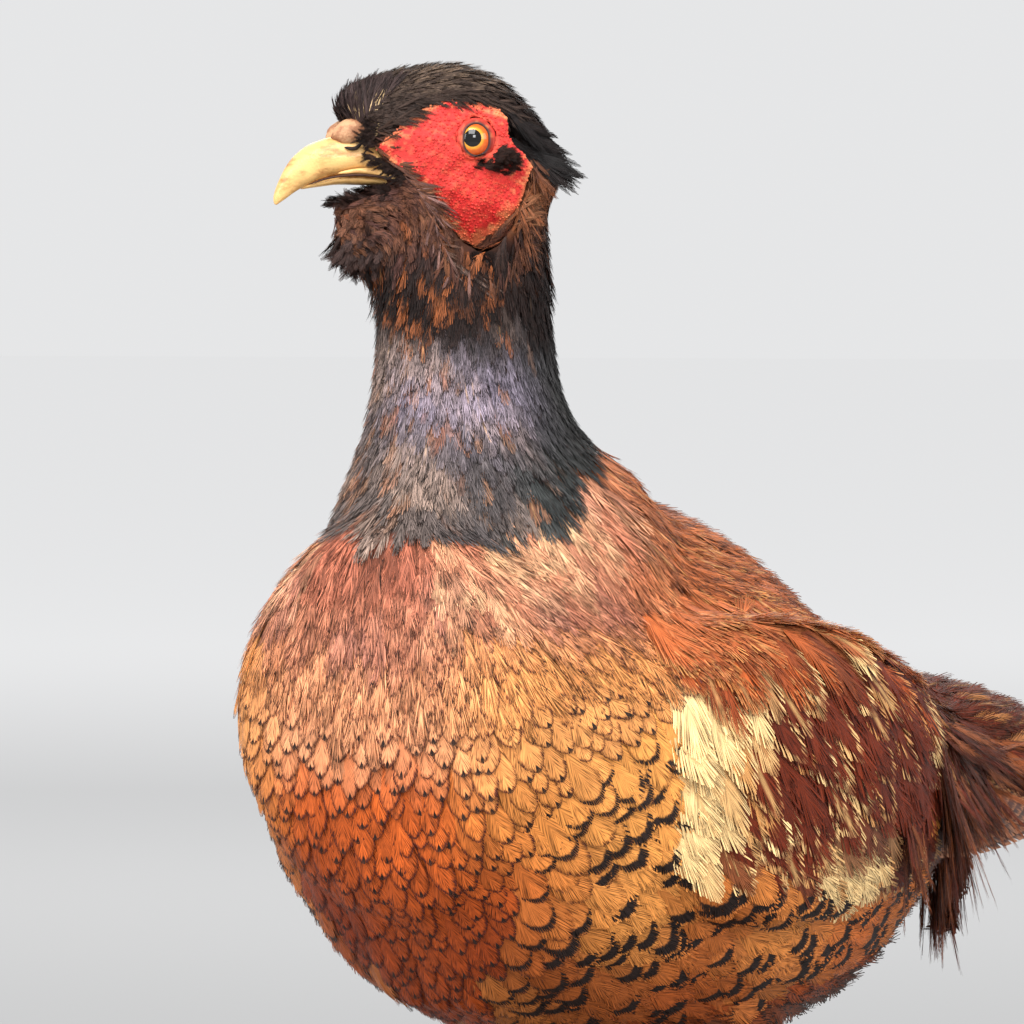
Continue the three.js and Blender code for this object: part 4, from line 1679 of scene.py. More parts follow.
    @staticmethod
    def wing(tips: Array, chance: Array) -> Look:
        """Chestnut blotches edged with cream, a loose cream patch in front and a cream hem.

        Args:
            tips: where the tips of the feathers lie.
            chance: four random numbers for each feather.

        Returns:
            The colours and marks.
        """
        _, y, z = tips.T
        front = y + 46 - 0.26 * (z - 200) + 9 * (wander(tips, 12, 52) - 0.5)
        patch = ramp(6, -6, front) * ramp(259, 249, z)
        hem = ramp(205, 197, z) * ramp(-8, 4, y) * ramp(48, 36, y)
        covert = mix(DYE.chestnut, DYE.maroon, np.clip(0.7 * chance[0] + 0.3 * ramp(-10, 40, y), 0, 1))
        covert = mix(covert, DYE.mantle, 0.85 * ramp(244, 262, z) * ramp(60, 10, y))
        covert = mix(covert, DYE.gold, 0.8 * patch)
        pale = patch * (chance[1] > 0.12 + 0.25 * ramp(236, 250, z)) * (0.25 + 1.3 * wander(tips, 8, 51))
        pale = np.clip(pale + hem, 0, 0.96)
        covert = mix(covert, DYE.cream, pale)
        streaky = ramp(0.52, 0.7, wander(tips * [1, 1.7, 1], 9, 53))
        rim = mix(mix(DYE.buff, DYE.cream, chance[3]), DYE.cream, patch)
        shown = chance[1] > 0.3 + 0.3 * ramp(-6, 30, y)
        width = (0.08 + 0.12 * chance[2] + 0.26 * streaky * chance[2]) * shown
        width = 1.25 * width * (0.4 + 0.6 * ramp(264, 250, z))
        return Look(covert, rim, width, streak=0.7 * (chance[1] > 0.82))


def horn_back(up: Array) -> Array:
    """How far ahead the feathers reach over the horn of the bill at a height."""
    return np.interp(up, [-12, -9.5, -7.6, -5.6, -3.7, 0, 3], [19.3, 22.6, 25.8, 28.6, 31.5, 29.0, 27.0])


CHEEK = (2.0, -7.5)  # how far ahead and up in the head the middle of the bare cheek lies


def wattle_reach(ahead: Array, up: Array) -> Array:
    """How far out a point of the cheek lies, 1 being the edge of the bare skin.

    Args:
        ahead: how far ahead in the head.
        up: how far up in the head.

    Returns:
        A share for each point.
    """
    edge = np.array([
        (26, -4), (20, 3), (13, 8), (3, 10.5), (-6, 8.5), (-13, 1), (-16.5, -7), (-14, -16),
        (-7, -25), (-1, -29.5), (6, -24), (12, -15), (19, -9.5),
    ], float) - CHEEK
    angle, far = np.arctan2(edge[:, 1], edge[:, 0]), np.hypot(edge[:, 0], edge[:, 1])
    order = np.argsort(angle)
    angle, far = angle[order], far[order]
    angle = np.concatenate([angle[-1:] - 2 * np.pi, angle, angle[:1] + 2 * np.pi])
    far = np.concatenate([far[-1:], far, far[:1]])
    ahead, up = ahead - CHEEK[0], up - CHEEK[1]
    return np.hypot(ahead, up) / np.interp(np.arctan2(up, ahead), angle, far)


def sag(up: Array) -> Array:
    """How much lower the bare cheek hangs than its solid, at a height."""
    return 4.2 * ramp(-12, -27, up)


# ---------------------------------------------------------------- feathers


@dataclass(frozen=True)
class FeatherCut:
    """The pattern that feathers of one kind are cut from.

    Barbs leave the shaft on both sides and lean towards the tip. Their inner parts share one
    sheet, and their outer ends are free.
    """

    barbs: int = 18
    broadest: float = 0.62
    point: float = 0.5
    slant: float = 0.34
    free: float = 0.6
    narrow: float = 0.5
    camber: float = 0.1
    ragged: float = 0.03
    gather: float = 1.35
    seed: int = 1

    def outline(self, v: Array) -> Array:
        """Half-width of the feather at v along it, as a share of its greatest.

        Args:
            v: places along the feather, from 0 to 1.

        Returns:
            A share for each place.
        """
        rise = np.clip(v / self.broadest, 0, 1) ** 0.6
        fall = np.clip((v - self.broadest) / (1 - self.broadest), 0, 1)
        return np.where(v < self.broadest, 0.2 + 0.8 * rise, (1 - fall**2) ** self.point)

    def barb_lines(self) -> tuple[Array, Array, Array]:
        """Each barb's root along the shaft, and its end's place across and along the feather.

        Returns:
            Three numbers for each barb, in three arrays.
        """
        v = np.linspace(0.08, 1, 500)
        u = self.outline(v)
        run = np.concatenate([[0], np.cumsum(np.hypot(np.diff(u) * 0.27, np.diff(v)))])
        share = 1 - (1 - np.linspace(0, 1, self.barbs + 1)) ** self.gather
        end_v = np.interp(share * run[-1], run, v)
        end_u = np.interp(share * run[-1], run, u)
        root = end_v - self.slant * (0.42 + 0.58 * end_u)
        root = np.maximum.accumulate(np.maximum(root, np.linspace(0, 0.1, self.barbs + 1)))
        return root, end_u, end_v

    def make(self) -> dict[str, Array]:
        """The pattern's points (across, along, height), faces and maps.

        Returns:
            Arrays by name.
        """
        rng = np.random.default_rng(self.seed)
        root, end_u, end_v = self.barb_lines()
        points, maps, corners, sizes = [], [], [], []

        def add(u: float, v: float, b: float, r: float, rise: float = 0) -> int:
            """Adds a point across and along the feather, b out on the barb rooted at r.

            Args:
                u: how far across.
                v: how far along.
                b: how far out on the barb.
                r: where the barb's root is.
                rise: how far it stands up.

            Returns:
                The point's number.
            """
            points.append((u, v, rise - self.camber * u * u))
            maps.append((0.5 + u / 2, v, b, r))
            return len(points) - 1

        def on_barb(k: int, b: float) -> tuple[float, float]:
            """The place across and along the feather of a point on barb k."""
            return end_u[k] * b**0.92, root[k] + (end_v[k] - root[k]) * b**1.12

        def face(ring: list[int], hand: int) -> None:
            """Adds a face that looks the same way on both sides of the shaft."""
            corners.extend(ring if hand > 0 else ring[::-1])
            sizes.append(len(ring))

        spine = [add(0, r, 0, r) for r in root]
        for hand in (1, -1):
            shared = []
            for k in range(self.barbs + 1):
                u, v = on_barb(k, self.free)
                shared.append(add(hand * u, v, self.free, root[k]))
            for k in range(self.barbs):
                face([spine[k], spine[k + 1], shared[k + 1], shared[k]], hand)
                reach = 1 + self.ragged * rng.uniform(-1, 1)
                (u0, v0), (u1, v1) = on_barb(k, 1.0), on_barb(k + 1, 1.0)
                base = np.array(on_barb(k, self.free)) + np.array(on_barb(k + 1, self.free))
                middle = base / 2 + (np.array([u0 + u1, v0 + v1]) / 2 - base / 2) * reach
                half = np.array([u1 - u0, v1 - v0]) * self.narrow / 2
                low, high = middle - half, middle + half
                rise = self.ragged * rng.uniform(-0.6, 1.2)
                inset = 0.5 * (1 - self.narrow) * (root[k + 1] - root[k])
                a = add(hand * low[0], low[1], 1.0, root[k] + inset, rise)
                b = add(hand * high[0], high[1], 1.0, root[k + 1] - inset, rise)
                face([shared[k], shared[k + 1], b, a], hand)
        maps_array = np.array(maps)
        return {
            "points": np.array(points), "corners": np.array(corners), "sizes": np.array(sizes),
            "shape": maps_array[:, :2], "barbs": maps_array[:, 2:],
        }


@dataclass
class Feathers:
    """A batch of feathers ready to be cut and laid, one row for each."""

    paths: Array
    normals: Array
    length: Array
    width: Array
    lift: Array
    paints: dict[str, Array]
    patch: Array
    curl: Array

    def some(self, chosen: Array) -> "Feathers":
        """Only the chosen feathers.

        Args:
            chosen: which rows.

        Returns:
            The smaller batch.
        """
        return Feathers(
            self.paths[chosen], self.normals[chosen], self.length[chosen], self.width[chosen],
            self.lift[chosen], {key: value[chosen] for key, value in self.paints.items()},
            self.patch[chosen], self.curl[chosen],
        )

    def lay(self, cut: FeatherCut, patch_size: float) -> dict[str, Array]:
        """Lays every feather along its path.

        Args:
            cut: the pattern that they are cut from.
            patch_size: how large each feather is on the unwrap.

        Returns:
            Arrays of points, corners, sizes, maps and paints, for joining with other batches.
        """
        pattern = cut.make()
        flat = pattern["points"]
        count, steps = self.paths.shape[:2]
        across = unit(np.cross(self.normals, np.gradient(self.paths, axis=1)))
        low = np.clip((flat[:, 1] * (steps - 1)).astype(int), 0, steps - 2)
        share = (flat[:, 1] * (steps - 1) - low)[None, :, None]
        centre = self.paths[:, low] * (1 - share) + self.paths[:, low + 1] * share
        side = across[:, low] * (1 - share) + across[:, low + 1] * share
        normal = unit(self.normals[:, low] * (1 - share) + self.normals[:, low + 1] * share)
        v = flat[None, :, 1]
        half = self.width[:, None] / 2
        rise = self.lift[:, :1] + (self.lift[:, 1:2] * v + self.curl[:, None] * v**2) * self.length[:, None]
        points = centre + side * (flat[None, :, 0] * half)[..., None]
        points += normal * (rise + flat[None, :, 2] * half * 2)[..., None]
        size = len(flat)
        unwrap = self.patch[:, None] + (pattern["shape"] - 0.5)[None] * patch_size
        return {
            "points": points.reshape(-1, 3),
            "corners": (pattern["corners"][None] + (np.arange(count) * size)[:, None]).ravel(),
            "sizes": np.tile(pattern["sizes"], count),
            "VaneUV": np.tile(pattern["shape"], (count, 1)),
            "BarbUV": np.tile(pattern["barbs"], (count, 1)),
            "OFBake": unwrap.reshape(-1, 2),
            **{key: np.repeat(value, size, 0) for key, value in self.paints.items()},
        }


def sew(
    name: str, feathers: Feathers, cuts: tuple[FeatherCut, ...], patch: float, rng: np.random.Generator
) -> bpy.types.Object:
    """Makes one object of feathers, each cut from one of several patterns by chance.

    Args:
        name: the object's name.
        feathers: the feathers.
        cuts: the patterns.
        patch: how large each feather is on the unwrap.
        rng: the source of chance.

    Returns:
        The linked object.
    """
    kinds = rng.integers(0, len(cuts), len(feathers.length))
    batches = [feathers.some(kinds == k).lay(cut, patch) for k, cut in enumerate(cuts) if (kinds == k).any()]
    offset, corners = 0, []
    for batch in batches:
        corners.append(batch["corners"] + offset)
        offset += len(batch["points"])
    whole = {key: np.concatenate([b[key] for b in batches]) for key in batches[0] if key != "corners"}
    return mesh_from_arrays(
        name, whole["points"], np.concatenate(corners), whole["sizes"],
        {key: whole[key] for key in ("VaneUV", "BarbUV", "OFBake")},
        {key: whole[key] for key in ("vane", "rim", "marks")},
    )


def walk(hide: Hide, roots: Array, length: Array, steps: int, twist: Array) -> tuple[Array, Array]:
    """Paths over the skin from roots along the lie of the coat.

    Args:
        hide: the skin.
        roots: where the feathers grow.
        length: how long each path is.
        steps: how many points each path has.
        twist: a turn about the normal for each feather, in radians.

    Returns:
        The paths and the skin's normals along them.
    """
    here, normal = hide.drop(roots)
    paths, normals = [here], [normal]
    stride = (length / (steps - 1))[:, None]
    heading = None
    for _ in range(steps - 1):
        lie = SPINE.lie(here, normal)
        lie = unit(lie * np.cos(twist)[:, None] + np.cross(normal, lie) * np.sin(twist)[:, None])
        heading = lie if heading is None else unit(heading + lie)
        target = here + heading * stride
        here, normal = hide.drop(target)
        # Where the skin turns the path back, the feather stands off it instead.
        held = np.linalg.norm(here - paths[-1], axis=1, keepdims=True) < 0.6 * stride
        here = np.where(held, target, here)
        normal = np.where(held, normals[-1], normal)
        heading = unit(here - paths[-1])
        paths.append(here)
        normals.append(normal)
    return taut(np.stack(paths, 1), np.stack(normals, 1))


def taut(paths: Array, normals: Array, rounds: int = 6) -> tuple[Array, Array]:
    """Paths pulled straight wherever the skin dips under them, with their normals.

    Args:
        paths: points along each path.
        normals: the normals there.
        rounds: how often to do it.

    Returns:
        The paths and their normals.
    """
    for _ in range(rounds):
        middle = (paths[:, :-2] + paths[:, 2:]) / 2
        rise = ((middle - paths[:, 1:-1]) * normals[:, 1:-1]).sum(2, keepdims=True)
        paths[:, 1:-1] += 0.8 * np.maximum(rise, 0) * normals[:, 1:-1]
        normals[:, 1:-1] = unit(normals[:, 1:-1] + 0.25 * (normals[:, :-2] + normals[:, 2:]))
    return paths, normals


def stand_out(
    roots: Array, headings: Array, normals: Array, length: Array, bend: Array, steps: int = 7
) -> tuple[Array, Array]:
    """Paths that leave the body along headings and bend away from their normals.

    Args:
        roots: where the feathers grow.
        headings: the way each sets out.
        normals: the way each one's outer face looks.
        length: how long each path is.
        bend: how far each tip falls from the straight line, as a share of its length.
        steps: how many points each path has.

    Returns:
        The paths and the outward directions along them.
    """
    s = np.linspace(0, 1, steps)[None, :, None]
    size = length[:, None, None]
    normals = unit(turned_off(normals, headings))
    fall = bend[:, None, None] * s**2
    paths = roots[:, None] + (headings[:, None] * s - normals[:, None] * fall) * size
    along = unit(np.gradient(paths, axis=1))
    return paths, unit(turned_off(normals[:, None], along))


@dataclass
class Unwrap:
    """The flattened skin that the feather patches are placed on: along the spine and round it."""

    margin: float = 0.008

    def place(self, points: Array) -> Array:
        """Two numbers from 0 to 1 for each point of the skin.

        Args:
            points: places in millimetres.

        Returns:
            The two numbers for each point.
        """
        weights = SPINE.weights(points)
        centre = weights @ SPINE.points
        ahead = unit(weights @ SPINE.along)
        aside = np.broadcast_to(np.array([1.0, 0, 0]), points.shape)
        over = unit(np.cross(aside, ahead))
        away = points - centre
        angle = np.arctan2((away * aside).sum(1), (away * over).sum(1))
        u = 0.5 + angle / (2 * np.pi)
        v = weights @ SPINE.length / SPINE.length[-1]
        return self.margin + (1 - 2 * self.margin) * np.clip(np.stack([u, v], 1), 0, 1)


UNWRAP = Unwrap()


@dataclass(frozen=True)
class Habit:
    """How the feathers of a zone grow, their sizes as multiples of their spacing."""

    length: float
    width: float
    slope: float
    cuts: tuple[FeatherCut, ...]
    finish: tuple[str, str, float, float, float]
    steps: int = 6
    disorder: float = 0.08
    curl: float = 0.01
    patch: float = 0.0035
    open_tip: float = 0.0


def variants(count: int, **settings: float) -> tuple[FeatherCut, ...]:
    """Several cuts that differ only by chance."""
    return tuple(FeatherCut(seed=k + 1, **settings) for k in range(count))


def habits() -> dict[Zone, Habit]:
    """How every zone's feathers grow. A finish is its name, slot, lines, depth and the darkness of the
    painted shade between the barbs.

    Returns:
        The habit of each zone.
    """
    fine = variants(3, barbs=7, slant=0.6, free=0.35, narrow=0.5, ragged=0.16, point=0.6)
    neck = variants(4, barbs=9, slant=0.64, free=0.3, narrow=0.45, ragged=0.15, point=0.5)
    hair = variants(4, barbs=14, slant=0.64, free=0.25, narrow=0.45, ragged=0.12, point=0.75)
    scale = variants(4, barbs=22, slant=0.5, free=0.7, narrow=0.7, ragged=0.035, point=0.66)
    large = variants(4, barbs=24, slant=0.58, free=0.74, narrow=0.66, ragged=0.06, point=0.55)
    loose = variants(4, barbs=16, slant=0.5, free=0.3, narrow=0.5, ragged=0.12, point=0.6)
    wing = variants(4, barbs=22, slant=0.6, free=0.5, narrow=0.6, ragged=0.08, point=0.8)
    wings = {
        zone: Habit(3.5, 1.55, 0.09, wing, (zone.name.lower(), "wing_feather", 46, 0.34, 0.6), 6, 0.09,
                    0.012, open_tip=0.85)
        for zone in (Zone.WING_LEFT, Zone.WING_RIGHT)
    }
    return {
        Zone.HEAD: Habit(3.8, 1.05, 0.09, fine, ("head", "head_feather", 14, 0.5, 0.7), 4, 0.13, 0.02, 0.003),
        Zone.NECK: Habit(3.9, 1.25, 0.09, neck, ("neck", "neck_feather", 30, 0.85, 1.0), 5, 0.08, 0.015,
                         0.003),
        Zone.BIB: Habit(4.2, 1.4, 0.08, hair, ("bib", "body_feather", 34, 0.75, 1.0), 6, 0.08, 0.01),
        Zone.BREAST: Habit(3.2, 1.5, 0.09, scale, ("breast", "body_feather", 38, 0.36, 0.65), 6, 0.06, 0.01),
        Zone.FLANK: Habit(3.3, 1.8, 0.09, large, ("flank", "body_feather", 50, 0.34, 0.6), 6, 0.09, 0.01),
        Zone.BELLY: Habit(3.2, 1.4, 0.11, loose, ("belly", "belly_feather", 36, 0.4, 0.6), 6, 0.16, 0.02),
        Zone.MANTLE: Habit(3.9, 1.5, 0.09, hair, ("mantle", "body_feather", 40, 0.5, 0.75), 6, 0.1, 0.015),
        Zone.RUMP: Habit(4.2, 1.3, 0.09, hair, ("rump", "rump_feather", 38, 0.5, 0.75), 7, 0.13, 0.015),
        **wings,
    }


@dataclass
class Coat:
    """All the small feathers that cover the skin, zone by zone."""

    hide: Hide
    plumage: Plumage = field(default_factory=Plumage)
    eagerness: float = 16.0
    seed: int = SEED

    def scatter(self) -> Array:
        """Places feather roots evenly over the skin, at the spacing of each zone.

        Returns:
            The roots, in millimetres.
        """
        rng = np.random.default_rng(self.seed)
        centres, areas = self.hide.face_centres, self.hide.face_areas
        growing = ~self.plumage.bare(centres)
        share = areas / self.plumage.spacing(centres) ** 2 * growing
        tries = rng.choice(len(centres), int(share.sum() * self.eagerness), p=share / share.sum())
        points = centres[tries] + rng.normal(0, 0.8, (len(tries), 3))
        gaps = self.plumage.spacing(points) * 0.86
        tree = self.tree_of(points)
        alive = np.ones(len(points), bool)
        kept = []
        for i, point in enumerate(points):
            if alive[i]:
                kept.append(i)
                for _, k, _ in tree.find_range(point, gaps[i]):
                    alive[k] = False
        return self.relax(points[kept])

    @staticmethod
    def tree_of(points: Array) -> KDTree:
        """A balanced search tree of points.

        Args:
            points: places in millimetres.

        Returns:
            The tree.
        """
        tree = KDTree(len(points))
        for i, point in enumerate(points):
            tree.insert(point, i)
        tree.balance()
        return tree

    def relax(self, points: Array, rounds: int = 3) -> Array:
        """Pushes roots apart until they are nearly even.

        Args:
            points: places in millimetres.
            rounds: how often to do it.

        Returns:
            The roots that are left.
        """
        for _ in range(rounds):
            tree = self.tree_of(points)
            gaps = self.plumage.spacing(points)
            push = np.zeros_like(points)
            for i, point in enumerate(points):
                for other, k, gap in tree.find_range(point, gaps[i]):
                    if k != i and gap > 1e-6:
                        push[i] += (point - np.array(other)) / gap * (gaps[i] - gap)
            points, _ = self.hide.drop(points + 0.3 * push)
        return points[~self.plumage.bare(points)]

    def grow(self) -> None:
        """Lays every zone's feathers as one piece for each zone."""
        roots = self.scatter()
        zones = self.plumage.zone(roots)
        rng = np.random.default_rng(self.seed + 1)
        for zone, habit in habits().items():
            chosen = roots[zones == zone.value]
            count = len(chosen)
            gap = self.plumage.spacing(chosen)
            length = gap * habit.length * (0.86 + 0.28 * rng.random(count))
            width = gap * habit.width * (0.9 + 0.2 * rng.random(count))
            twist = rng.normal(0, habit.disorder, count)
            paths, normals = walk(self.hide, chosen, length, habit.steps, twist)
            base = 0.15 + 0.12 * rng.random(count)
            slope = habit.slope * (0.75 + 0.6 * rng.random(count)) * self.plumage.looseness(chosen)
            lift = np.stack([base, slope], 1)
            feathers = Feathers(
                paths, normals, length, width, lift, self.plumage.colours(chosen, paths[:, -1], rng),
                UNWRAP.place(chosen), rng.normal(0, habit.curl, count),
            )
            title, slot, lines, depth, slits = habit.finish
            piece = sew(f"coat_{title}", feathers, habit.cuts, habit.patch, rng)
            FeatherFinish(f"{title}_feathers", slot, lines=lines, depth=depth, slits=slits,
                          open_tip=habit.open_tip).dress(piece)
            attach(piece)
            log.info("%s: %d feathers", piece.name, count)


# ---------------------------------------------------------------- plumes that stand alone


@dataclass
class Plumes:
    """Feathers that are placed one group at a time, such as tufts, quills and tails."""

    name: str
    nodes: tuple[str, ...]
    cuts: tuple[FeatherCut, ...]
    finish: Finish
    patch: float = 0.0035
    seed: int = SEED
    groups: list[Feathers] = field(default_factory=list)

    def add(
        self, paths: Array, normals: Array, width: Array, paints: dict[str, Array], lift: float = 0.0,
        slope: float = 0.0,
    ) -> None:
        """Adds feathers along paths.

        Args:
            paths: for each feather, points from its root to its tip.
            normals: the way its outer face looks along the path.
            width: each feather's greatest width.
            paints: its vertex colours.
            lift: how far all of it stands off the path.
            slope: how much more its tip does, as a share of its length.
        """
        count = len(paths)
        length = np.linalg.norm(np.diff(paths, axis=1), axis=2).sum(1)
        rise = np.tile([lift, slope], (count, 1))
        self.groups.append(Feathers(
            paths, normals, length, np.broadcast_to(width, (count,)).astype(float), rise, paints,
            UNWRAP.place(paths[:, 0]), np.zeros(count),
        ))

    def build(self) -> bpy.types.Object:
        """Sews all the groups into one piece.

        Returns:
            The linked object.
        """
        rng = np.random.default_rng(self.seed)
        joined = Feathers(
            *(np.concatenate([getattr(g, key) for g in self.groups]) for key in
              ("paths", "normals", "length", "width", "lift")),
            {key: np.concatenate([g.paints[key] for g in self.groups]) for key in ("vane", "rim", "marks")},
            *(np.concatenate([getattr(g, key) for g in self.groups]) for key in ("patch", "curl")),
        )
        piece = sew(self.name, joined, self.cuts, self.patch, rng)
        self.finish.dress(piece)
        attach(piece, *self.nodes)
        return piece


def plain_look(
    colour: Array, count: int, rng: np.random.Generator, spread: float = 0.4, **marks: object
) -> dict[str, Array]:
    """Vertex colours for feathers of one colour."""
    return Look(np.tile(colour, (count, 1)), DYE.soot, **marks).paints(rng, spread)


@dataclass
class EarTuft:
    """The glossy black tuft behind one ear."""

    hide: Hide
    hand: Hand
    count: int = 120

    def build(self) -> None:
        """Lays the tuft's feathers from behind the eye to its drooping end."""
        rng = np.random.default_rng(SEED + 3 + self.hand.value)
        side = self.hand.value
        k = rng.random(self.count)
        layer = np.sort(rng.random(self.count))
        roots, normals = self.hide.drop(HEAD.out(
            -6.5 - 9.5 * layer - 3 * k, side * (13.5 - 2.5 * layer), 4.5 - 9.5 * layer + 5 * (k - 0.5)))
        drop = rng.normal(0, 0.09, self.count)
        headings = HEAD.turn_out(drop - 0.8, side * 0.12, -0.58 - drop)
        headings = unit(turned_off(headings, normals, 0.75))
        length = 11.5 + 6 * rng.random(self.count)
        roots = roots + normals * (0.8 + 1.4 * (1 - layer))[:, None]
        paths, facing = stand_out(roots, headings, normals, length, rng.normal(0.03, 0.05, self.count), 5)
        cuts = variants(3, barbs=11, slant=0.55, free=0.35, narrow=0.5, ragged=0.1, point=0.8, broadest=0.45)
        finish = FeatherFinish("ear_tuft_feathers", "head_feather", lines=16, depth=0.5, roughness=0.42,
                               specular=0.16)
        node = f"ear_tuft_{self.hand.word}"
        plumes = Plumes(f"{node}_plumes", (node,), cuts, finish)
        plumes.add(paths, facing, 2.0 + 1.2 * rng.random(self.count),
                   plain_look(tint(22, 16, 15), self.count, rng, 0.9), 0.3, 0.06)
        plumes.build()


def surface_of(thing: bpy.types.Object) -> BVHTree:
    """A search tree of an object's faces, in millimetres."""
    points = [vertex.co / MM for vertex in thing.data.vertices]
    return BVHTree.FromPolygons(points, [tuple(face.vertices) for face in thing.data.polygons])


def creep(hide: Hide, roots: Array, headings: Array, length: Array, steps: int = 5) -> tuple[Array, Array]:
    """Paths over the skin that keep to their own headings.

    Args:
        hide: the skin.
        roots: where the feathers grow.
        headings: the way each sets out.
        length: how long each path is.
        steps: how many points each path has.

    Returns:
        The paths and the skin's normals along them.
    """
    here, normal = hide.drop(roots)
    paths, normals = [here], [normal]
    for _ in range(steps - 1):
        headings = unit(turned_off(headings, normal))
        here, normal = hide.drop(here + headings * (length / (steps - 1))[:, None])
        paths.append(here)
        normals.append(normal)
    return np.stack(paths, 1), np.stack(normals, 1)


@dataclass
class HeadTufts:
    """The forehead, chin and throat tufts, the bristles by the bill and the hairs round the cheeks."""

    hide: Hide
    cheeks: dict[Hand, BVHTree]

    def build(self) -> None:
        """Lays the tufts of the face as one piece and those of each cheek as another."""
        rng = np.random.default_rng(SEED + 9)
        plumes = self.start("head_tufts", "tuft_feathers")
        self.forehead(plumes, rng)
        self.chin(plumes, rng)
        plumes.build()
        for hand in Hand:
            plumes = self.start(f"cheek_tufts_{hand.word}", "cheek_tuft_feathers")
            for lay in (self.bristles, self.ear_patch, self.cheek_fringe, self.nape_hair):
                lay(plumes, rng, hand)
            plumes.build()

    @staticmethod
    def start(name: str, finish: str) -> Plumes:
        """An empty piece for small hair-like feathers.

        Args:
            name: the piece's name.
            finish: its finish's name.

        Returns:
            The piece, with no feathers yet.
        """
        cuts = variants(3, barbs=9, slant=0.6, free=0.3, narrow=0.45, ragged=0.1, point=0.7)
        look = FeatherFinish(finish, "head_feather", pale=tint(226, 190, 140), lines=14, depth=0.5)
        return Plumes(name, (), cuts, look, 0.003)

    def forehead(self, plumes: Plumes, rng: np.random.Generator) -> None:
        """The dark tuft that radiates from behind the nostrils over the rounded forehead.

        Args:
            plumes: the piece that the feathers go into.
            rng: the source of chance.
        """
        count = 260
        share, side = rng.random(count), rng.choice([-1, 1], count)
        fan = rng.uniform(-0.5, 1, count)
        out = 2 + 5.5 * rng.random(count)
        roots = HEAD.out(31 - 4.5 * rng.random(count) - 5 * share, side * out, 2.5 + 6 * share)
        lean = 0.6 - 1.3 * share - 0.35 * fan
        headings = unit(HEAD.turn_out(lean, 0.25 * fan * side, 1.0))
        length = 6.5 + 5 * rng.random(count)
        paths, normals = creep(self.hide, roots, headings, length)
        streak = 0.95 * (rng.random(count) > 0.55)
        look = plain_look(tint(56, 43, 41), count, rng, 0.8, streak=streak, reach=0.55)
        rise = 0.18 * rng.random((count, 1, 1)) + 0.08
        stand = np.linspace(0, 1, paths.shape[1])[None, :, None] ** 1.5 * length[:, None, None] * rise
        plumes.add(paths + normals * (0.6 + stand), normals, 1.1 + 1.0 * rng.random(count), look)

    def chin(self, plumes: Plumes, rng: np.random.Generator) -> None:
        """Fluffy feathers under the bill and in the tuft at the throat.

        Args:
            plumes: the piece that the feathers go into.
            rng: the source of chance.
        """
        for count, ahead, up, forward, size, tone in (
            (150, (19, 34), (-14.0, -17), 1.1, 4.6, tint(44, 30, 26)),
            (130, (22, 32), (-18, -25), 0.2, 4.6, tint(96, 62, 46)),
            (120, (23, 32), (-26, -32), 0.45, 5.4, tint(56, 40, 36)),
        ):
            share = rng.random(count)
            wide = rng.uniform(-1, 1, count)
            roots, normals = self.hide.drop(HEAD.out(
                ahead[0] + (ahead[1] - ahead[0]) * rng.random(count), 8 * wide,
                up[0] + (up[1] - up[0]) * share))
            fall = -0.75 if forward < 1 else 0.1
            turned, tipped = rng.normal(0, 0.3, count), rng.normal(0, 0.3, count)
            headings = HEAD.turn_out(forward + turned, 0.45 * wide, fall + tipped)
            headings = unit(headings + 0.35 * normals)
            length = size * (0.7 + 0.6 * rng.random(count))
            paths, facing = stand_out(roots, headings, normals, length, 0.1 + 0.3 * rng.random(count), 5)
            plumes.add(paths, facing, 1.6 + 1.2 * rng.random(count), plain_look(tone, count, rng, 0.9))

    def bristles(self, plumes: Plumes, rng: np.random.Generator, hand: Hand) -> None:
        """Short dark bristles on the edge of the skin between the bill and the cheek.

        Args:
            plumes: the piece that the feathers go into.
            rng: the source of chance.
            hand: which side of the bird.
        """
        count = 190
        up = 4 - 16 * rng.random(count)
        back = 0.3 + 3.6 * rng.random(count)
        out = 7.6 + 0.25 * back + 0.11 * np.maximum(31 - horn_back(up), 0)
        roots = HEAD.out(horn_back(up) - back, hand.value * out, up)
        on_skin, normals = self.hide.drop(roots)
        outward = HEAD.turn_out(0.25, hand.value, 0.1)
        normals = unit(0.4 * normals + outward)
        roots = np.where((np.abs(HEAD.into(on_skin)[:, 1]) > out)[:, None], on_skin, roots)
        turned, tipped = rng.random(count), rng.random(count)
        headings = HEAD.turn_out(0.35 + 0.5 * turned, hand.value * 0.1, 0.9 * tipped - 0.55)
        headings = unit(headings + 0.15 * normals)
        length = 1.8 + 2.4 * rng.random(count)
        paths, facing = stand_out(roots, headings, normals, length, rng.normal(0.05, 0.12, count), 5)
        tone = plain_look(tint(40, 28, 24), count, rng, 0.9, streak=0.6 * (up > -2), reach=0.3)
        plumes.add(paths, facing, 0.6 + 0.6 * rng.random(count), tone, 0.2)

